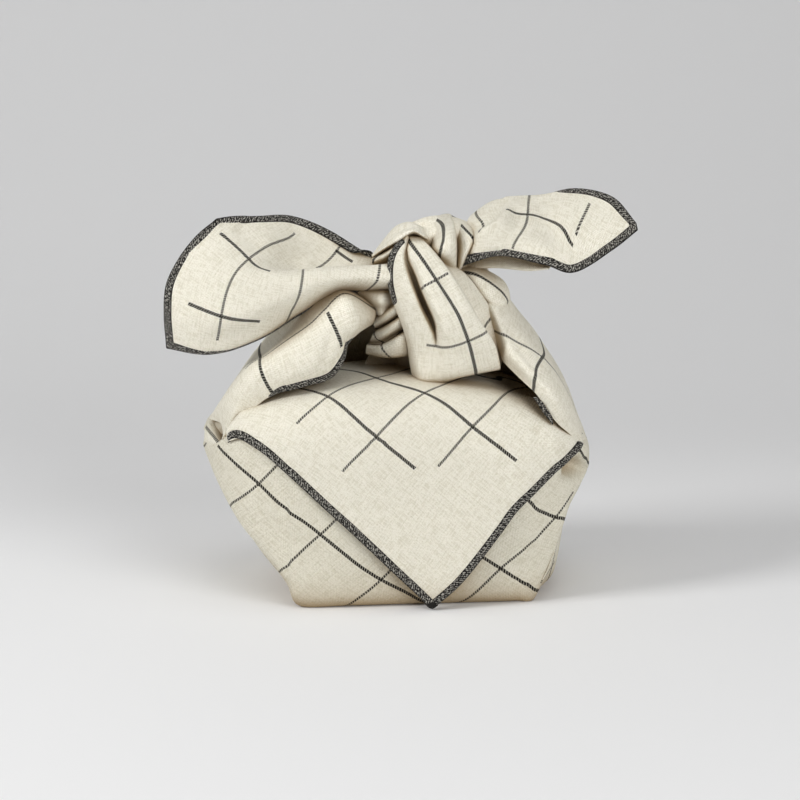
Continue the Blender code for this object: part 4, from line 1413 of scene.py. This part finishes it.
def smoothed_grid(grid, rounds=4):
    """Even out a grid's small steps, keeping its borders."""
    for _ in range(rounds):
        middle = 0.25 * (grid[:-2, 1:-1] + grid[2:, 1:-1] + grid[1:-1, :-2] + grid[1:-1, 2:])
        grid[1:-1, 1:-1] = 0.5 * grid[1:-1, 1:-1] + 0.5 * middle
    return grid


def flap_surface():
    """Return the bundle's outside where the flap lies on it, further off towards its tip."""
    rings = bundle_rings(FLAP_LIFT, *GRIDS["flap_surface"])
    hang = FLAP_HANG * np.clip((HANG_FROM - rings[..., 2]) / HANG_FROM, 0.0, 1.0) ** 1.3
    rings[..., 1] -= np.where(rings[..., 1] < 0.0, hang, 0.0)
    return BVHTree.FromPolygons(rings.reshape(-1, 3).tolist(), grid_faces(*rings.shape[:2]))


def flap_grid(surface, along, across, crown):
    """Return the flap from its tip up to its corners, over the top and down under the knot."""
    left, right, arch = (evened(resampled(line, CURVE_FINE), count) for line, count in
                         ((FLAP_LEFT, along), (FLAP_RIGHT, along), (FLAP_CROWN, across)))
    share = np.linspace(0.0, 1.0, across)[None, :, None]
    level = np.stack((left[:, 0], np.maximum.accumulate(left[:, 1])), axis=-1)
    lower = (1.0 - share) * level[:, None] + share * right[:, None]
    lower += np.clip(1.0 - share / LEVELLED, 0.0, 1.0) ** 2 * (left - level)[:, None]
    rise = np.linspace(0.0, 1.0, crown)[1:, None, None]
    upper = (1.0 - rise) * lower[-1][None] + rise * arch[None]
    grid = draped_over(np.concatenate((lower, upper)), surface)
    tuck = np.linspace(0.0, 1.0, TUCK_ROWS)[1:, None, None]
    return np.concatenate((grid, grid[-1][None] + tuck * FLAP_TUCK))


class FUROSHIKI_OT_flap(bpy.types.Operator):
    """Make the pointed front flap that comes over the top, with its overlocked edge."""

    bl_idname = "furoshiki.flap"
    bl_label = "Front flap"

    def execute(self, context):
        along, across, crown = GRIDS["flap"]
        surface = flap_surface()
        grid = smoothed_grid(flap_grid(surface, along, across, crown))
        out = normals(grid)
        out *= -np.sign((out @ FORWARD)[:along].mean())
        grid = rumpled(creased(grid, out, CREASES["front_flap"]), out, *RUMPLES["flap"])
        grid[..., 2] = np.maximum(grid[..., 2], FLAP_FLOOR)
        flap = sheet_object("front_flap", grid, out, chart("front_flap", grid, out),
                            cloth_material())
        edge, inward, _ = joined(border(grid, out, "start", slice(along - 1, None, -1)),
                                 border(grid, out, "end", slice(along)))
        facing = smoothed(surface_normals(edge, surface), FLAP_SOFT)
        hems = [hem_object("flap_edge", edge, inward, facing, FLAP_SHARE, FLAP_TAPER),
                thread_knot("flap_tip", grid[0, 0] + KNOT_RISE)]
        flat_size(grid)
        return {"FINISHED"}


# ---------------------------------------------------------------- shoulders

def side_grid(rows):
    """Return a side's sheet: arches from the front border over the middle to the back."""
    table = np.array(rows)
    front, middle, back = table[:, 0:3], table[:, 3:6], table[:, 6:9]
    near = 0.5 * (front + middle) + SIDE_BULGE * (middle - front)
    far = 0.5 * (back + middle) + SIDE_BULGE * (middle - back)
    return lattice((front, near, middle, far, back), *GRIDS["side"])


def folded(name, lines, kind, others=False):
    """Make one folded piece from its fold lines and return it with its grid and normals."""
    grid = lattice([seen(points) for fold, points in lines], *GRIDS[kind])
    out = normals(grid)
    out *= -np.sign((out @ FORWARD).mean())
    grid = rumpled(creased(grid, out, CREASES.get(name, ())), out, *RUMPLES[kind])
    piece = sheet_object(name, grid, out, chart(name, grid, out, others), cloth_material())
    return piece, grid, out


class FUROSHIKI_OT_shoulders(bpy.types.Operator):
    """Make the gathered shoulders that rise from the sides of the bundle to the knot."""

    bl_idname = "furoshiki.shoulders"
    bl_label = "Shoulders"

    def execute(self, context):
        for name, lines in (("left_shoulder", LEFT_SHOULDER), ("right_shoulder", RIGHT_SHOULDER)):
            piece, grid, out = folded(name, lines, "shoulder")
            part, moved, share, taper = SHOULDER_EDGES[name]
            edge, inward, facing = joined(border(grid, out, "bottom", slice(*part)))
            hem = hem_object(f"{name}_edge", edge + moved, inward, facing, share, taper)
            flat_size(grid)
        for side, rows in SIDES.items():
            name = f"{side}_side"
            grid = side_grid(rows)
            out = normals(grid)
            out *= np.sign((out[..., 0] * grid[..., 0]).sum())
            grid = rumpled(grid, out, *RUMPLES["side"])
            grid[..., 2] = np.maximum(grid[..., 2], SIDE_FLOOR)
            # Painted shade: the sides take the duller shaded copy of the cloth's colour
            piece = sheet_object(name, grid, out, chart(name, grid, out, others=True),
                                 cloth_material(shaded=True))
            flat_size(grid)
        return {"FINISHED"}


# ---------------------------------------------------------------- knot

def roll_grid(stations):
    """Return a fat roll of gathered cloth through stations on the elevation."""
    sections, steps = GRIDS["roll"]
    table = resampled(stations, sections)
    centre = seen(table[:, :3])
    run = unit(np.gradient(centre, axis=0))
    side = unit(np.cross(run, np.array((0.0, -1.0, 0.0))))
    out = np.cross(side, run)
    tilt = np.radians(table[:, 5])[:, None]
    wide = np.cos(tilt) * side + np.sin(tilt) * out
    thick = np.cos(tilt) * out - np.sin(tilt) * side
    turn = (2.0 * math.pi * np.linspace(0.0, 1.0, steps + 1) + 0.5 * math.pi)[None, :]
    place = np.linspace(0.0, 1.0, sections)[:, None]
    pleats = np.cos(PLEATS * turn + PLEAT_TWIST * place) * np.sin(math.pi * place)
    ripple = 1.0 + PLEAT_DEPTH * pleats
    return (centre[:, None]
            + (table[:, 3:4] * np.cos(turn) * ripple)[..., None] * wide[:, None]
            + (table[:, 4:5] * np.sin(turn) * ripple)[..., None] * -thick[:, None])


class FUROSHIKI_OT_knot(bpy.types.Operator):
    """Make the knot's rolls of gathered cloth and the strand that hangs over its front."""

    bl_idname = "furoshiki.knot"
    bl_label = "Knot"

    def execute(self, context):
        for name, stations in KNOT.items():
            grid = roll_grid(stations)
            out = outward(grid)
            grid = rumpled(creased(grid, out, CREASES.get(name, ())), out, *RUMPLES["roll"])
            piece = tube_object(name, grid, chart(name, grid, out), cloth_material())
            flat_size(grid, layers=2)
        for name, lines in KNOT_FOLDS.items():
            piece, grid, out = folded(name, lines, "fold", others=name == "knot_nape")
            flat_size(grid)
        piece, grid, out = folded("front_strand", STRAND, "strand")
        hem = hem_object("strand_edge", *joined(border(grid, out, "bottom", slice(*STRAND_EDGE))))
        flat_size(grid)
        return {"FINISHED"}


# ---------------------------------------------------------------- ears

class FUROSHIKI_OT_ears(bpy.types.Operator):
    """Make the two free ears of the knot with their overlocked edges."""

    bl_idname = "furoshiki.ears"
    bl_label = "Ears"

    def execute(self, context):
        for name, lines in (("left_ear", LEFT_EAR), ("right_ear", RIGHT_EAR)):
            piece, grid, out = folded(name, lines, "ear")
            begun, turned = EAR_EDGES[name]
            run = joined(border(grid, out, "bottom", slice(begun, None)),
                         *(border(grid, out, side) for side in turned),
                         border(grid, out, "top", slice(None, None, -1)))
            hem = hem_object(f"{name}_edge", *run, taper=EAR_TAPER)
            flat_size(grid)
        return {"FINISHED"}


# ---------------------------------------------------------------- stage

def sweep():
    """Make the paper sweep: a floor whose back edge is spun and drawn up into a wall."""
    bpy.ops.object.select_all(action="DESELECT")
    bpy.ops.mesh.primitive_plane_add(
        size=2.0, location=(0.0, 0.5 * (SWEEP_FRONT + SWEEP_TURN), 0.0))
    paper = bpy.context.active_object
    paper.name = paper.data.name = "sweep"
    paper.scale = (SWEEP_HALF, 0.5 * (SWEEP_TURN - SWEEP_FRONT), 1.0)
    bpy.ops.object.transform_apply()
    bpy.ops.object.mode_set(mode="EDIT")
    bpy.ops.mesh.select_mode(type="VERT")
    bpy.ops.mesh.select_all(action="DESELECT")
    bpy.ops.object.mode_set(mode="OBJECT")
    for vertex in paper.data.vertices:
        vertex.select = vertex.co.y > 0.0
    bpy.ops.object.mode_set(mode="EDIT")
    bpy.ops.mesh.spin(steps=SWEEP_STEPS, angle=-0.5 * math.pi, axis=(1.0, 0.0, 0.0),
                      center=(0.0, SWEEP_TURN, SWEEP_RADIUS))
    bpy.ops.mesh.extrude_region_move(
        TRANSFORM_OT_translate={"value": (0.0, 0.0, SWEEP_TOP - SWEEP_RADIUS)})
    bpy.ops.object.mode_set(mode="OBJECT")
    bpy.ops.object.shade_smooth()
    paper.data.materials.append(made_once("pale_paper", "paper", paper_look))
    return paper


def aimed(name, data, place, direction):
    """Put a light or camera at a place in metres, looking in a direction."""
    thing = bpy.data.objects.new(name, data)
    thing.location = place
    thing.rotation_euler = direction.to_track_quat("-Z", "Y").to_euler()
    bpy.context.scene.collection.objects.link(thing)
    return thing


class FUROSHIKI_OT_stage(bpy.types.Operator):
    """Make the pale sweep, the soft lights and the camera."""

    bl_idname = "furoshiki.stage"
    bl_label = "Stage"

    def execute(self, context):
        scene = bpy.context.scene
        sweep()
        scene.world = bpy.data.worlds.new("studio")
        scene.world.use_nodes = True
        background = scene.world.node_tree.nodes["Background"]
        background.inputs[0].default_value = (1.0, 1.0, 1.0, 1.0)
        background.inputs[1].default_value = DAYLIGHT
        for name, place, size, energy in LIGHTS:
            lamp = bpy.data.lights.new(name, "AREA")
            lamp.shape, lamp.size, lamp.energy = "DISK", size, energy
            aimed(name, lamp, place, LIT_SPOT - Vector(place))
        camera = bpy.data.cameras.new("camera")
        camera.sensor_width = SENSOR
        camera.lens = SENSOR * EYE_REACH / FIELD
        camera.clip_end = 50.0
        scene.camera = aimed("camera", camera, EYE * MM, Vector(FORWARD))
        scene.view_settings.view_transform = "Standard"
        return {"FINISHED"}


class FUROSHIKI_PT_panel(bpy.types.Panel):
    """List the pieces of the tied cloth."""

    bl_label = "Furoshiki"
    bl_space_type = "VIEW_3D"
    bl_region_type = "UI"
    bl_category = "Furoshiki"

    def draw(self, context):
        for size in WrapSettings.__annotations__:
            self.layout.prop(context.scene.furoshiki, size)
        for piece in PIECES:
            self.layout.operator(piece.bl_idname)


PIECES = (FUROSHIKI_OT_bundle, FUROSHIKI_OT_flap, FUROSHIKI_OT_shoulders, FUROSHIKI_OT_knot,
          FUROSHIKI_OT_ears, FUROSHIKI_OT_stage)
CLASSES = (WrapSettings, *PIECES, FUROSHIKI_PT_panel)


def register():
    """Register the settings, operators and panel."""
    for item in CLASSES:
        bpy.utils.register_class(item)
    bpy.types.Scene.furoshiki = bpy.props.PointerProperty(type=WrapSettings)


def unregister():
    """Remove what register() added."""
    del bpy.types.Scene.furoshiki
    for item in reversed(CLASSES):
        bpy.utils.unregister_class(item)


def main():
    register()
    bpy.ops.furoshiki.bundle()
    bpy.ops.furoshiki.flap()
    bpy.ops.furoshiki.shoulders()
    bpy.ops.furoshiki.knot()
    bpy.ops.furoshiki.ears()
    bpy.ops.furoshiki.stage()


if __name__ == "__main__":
    main()
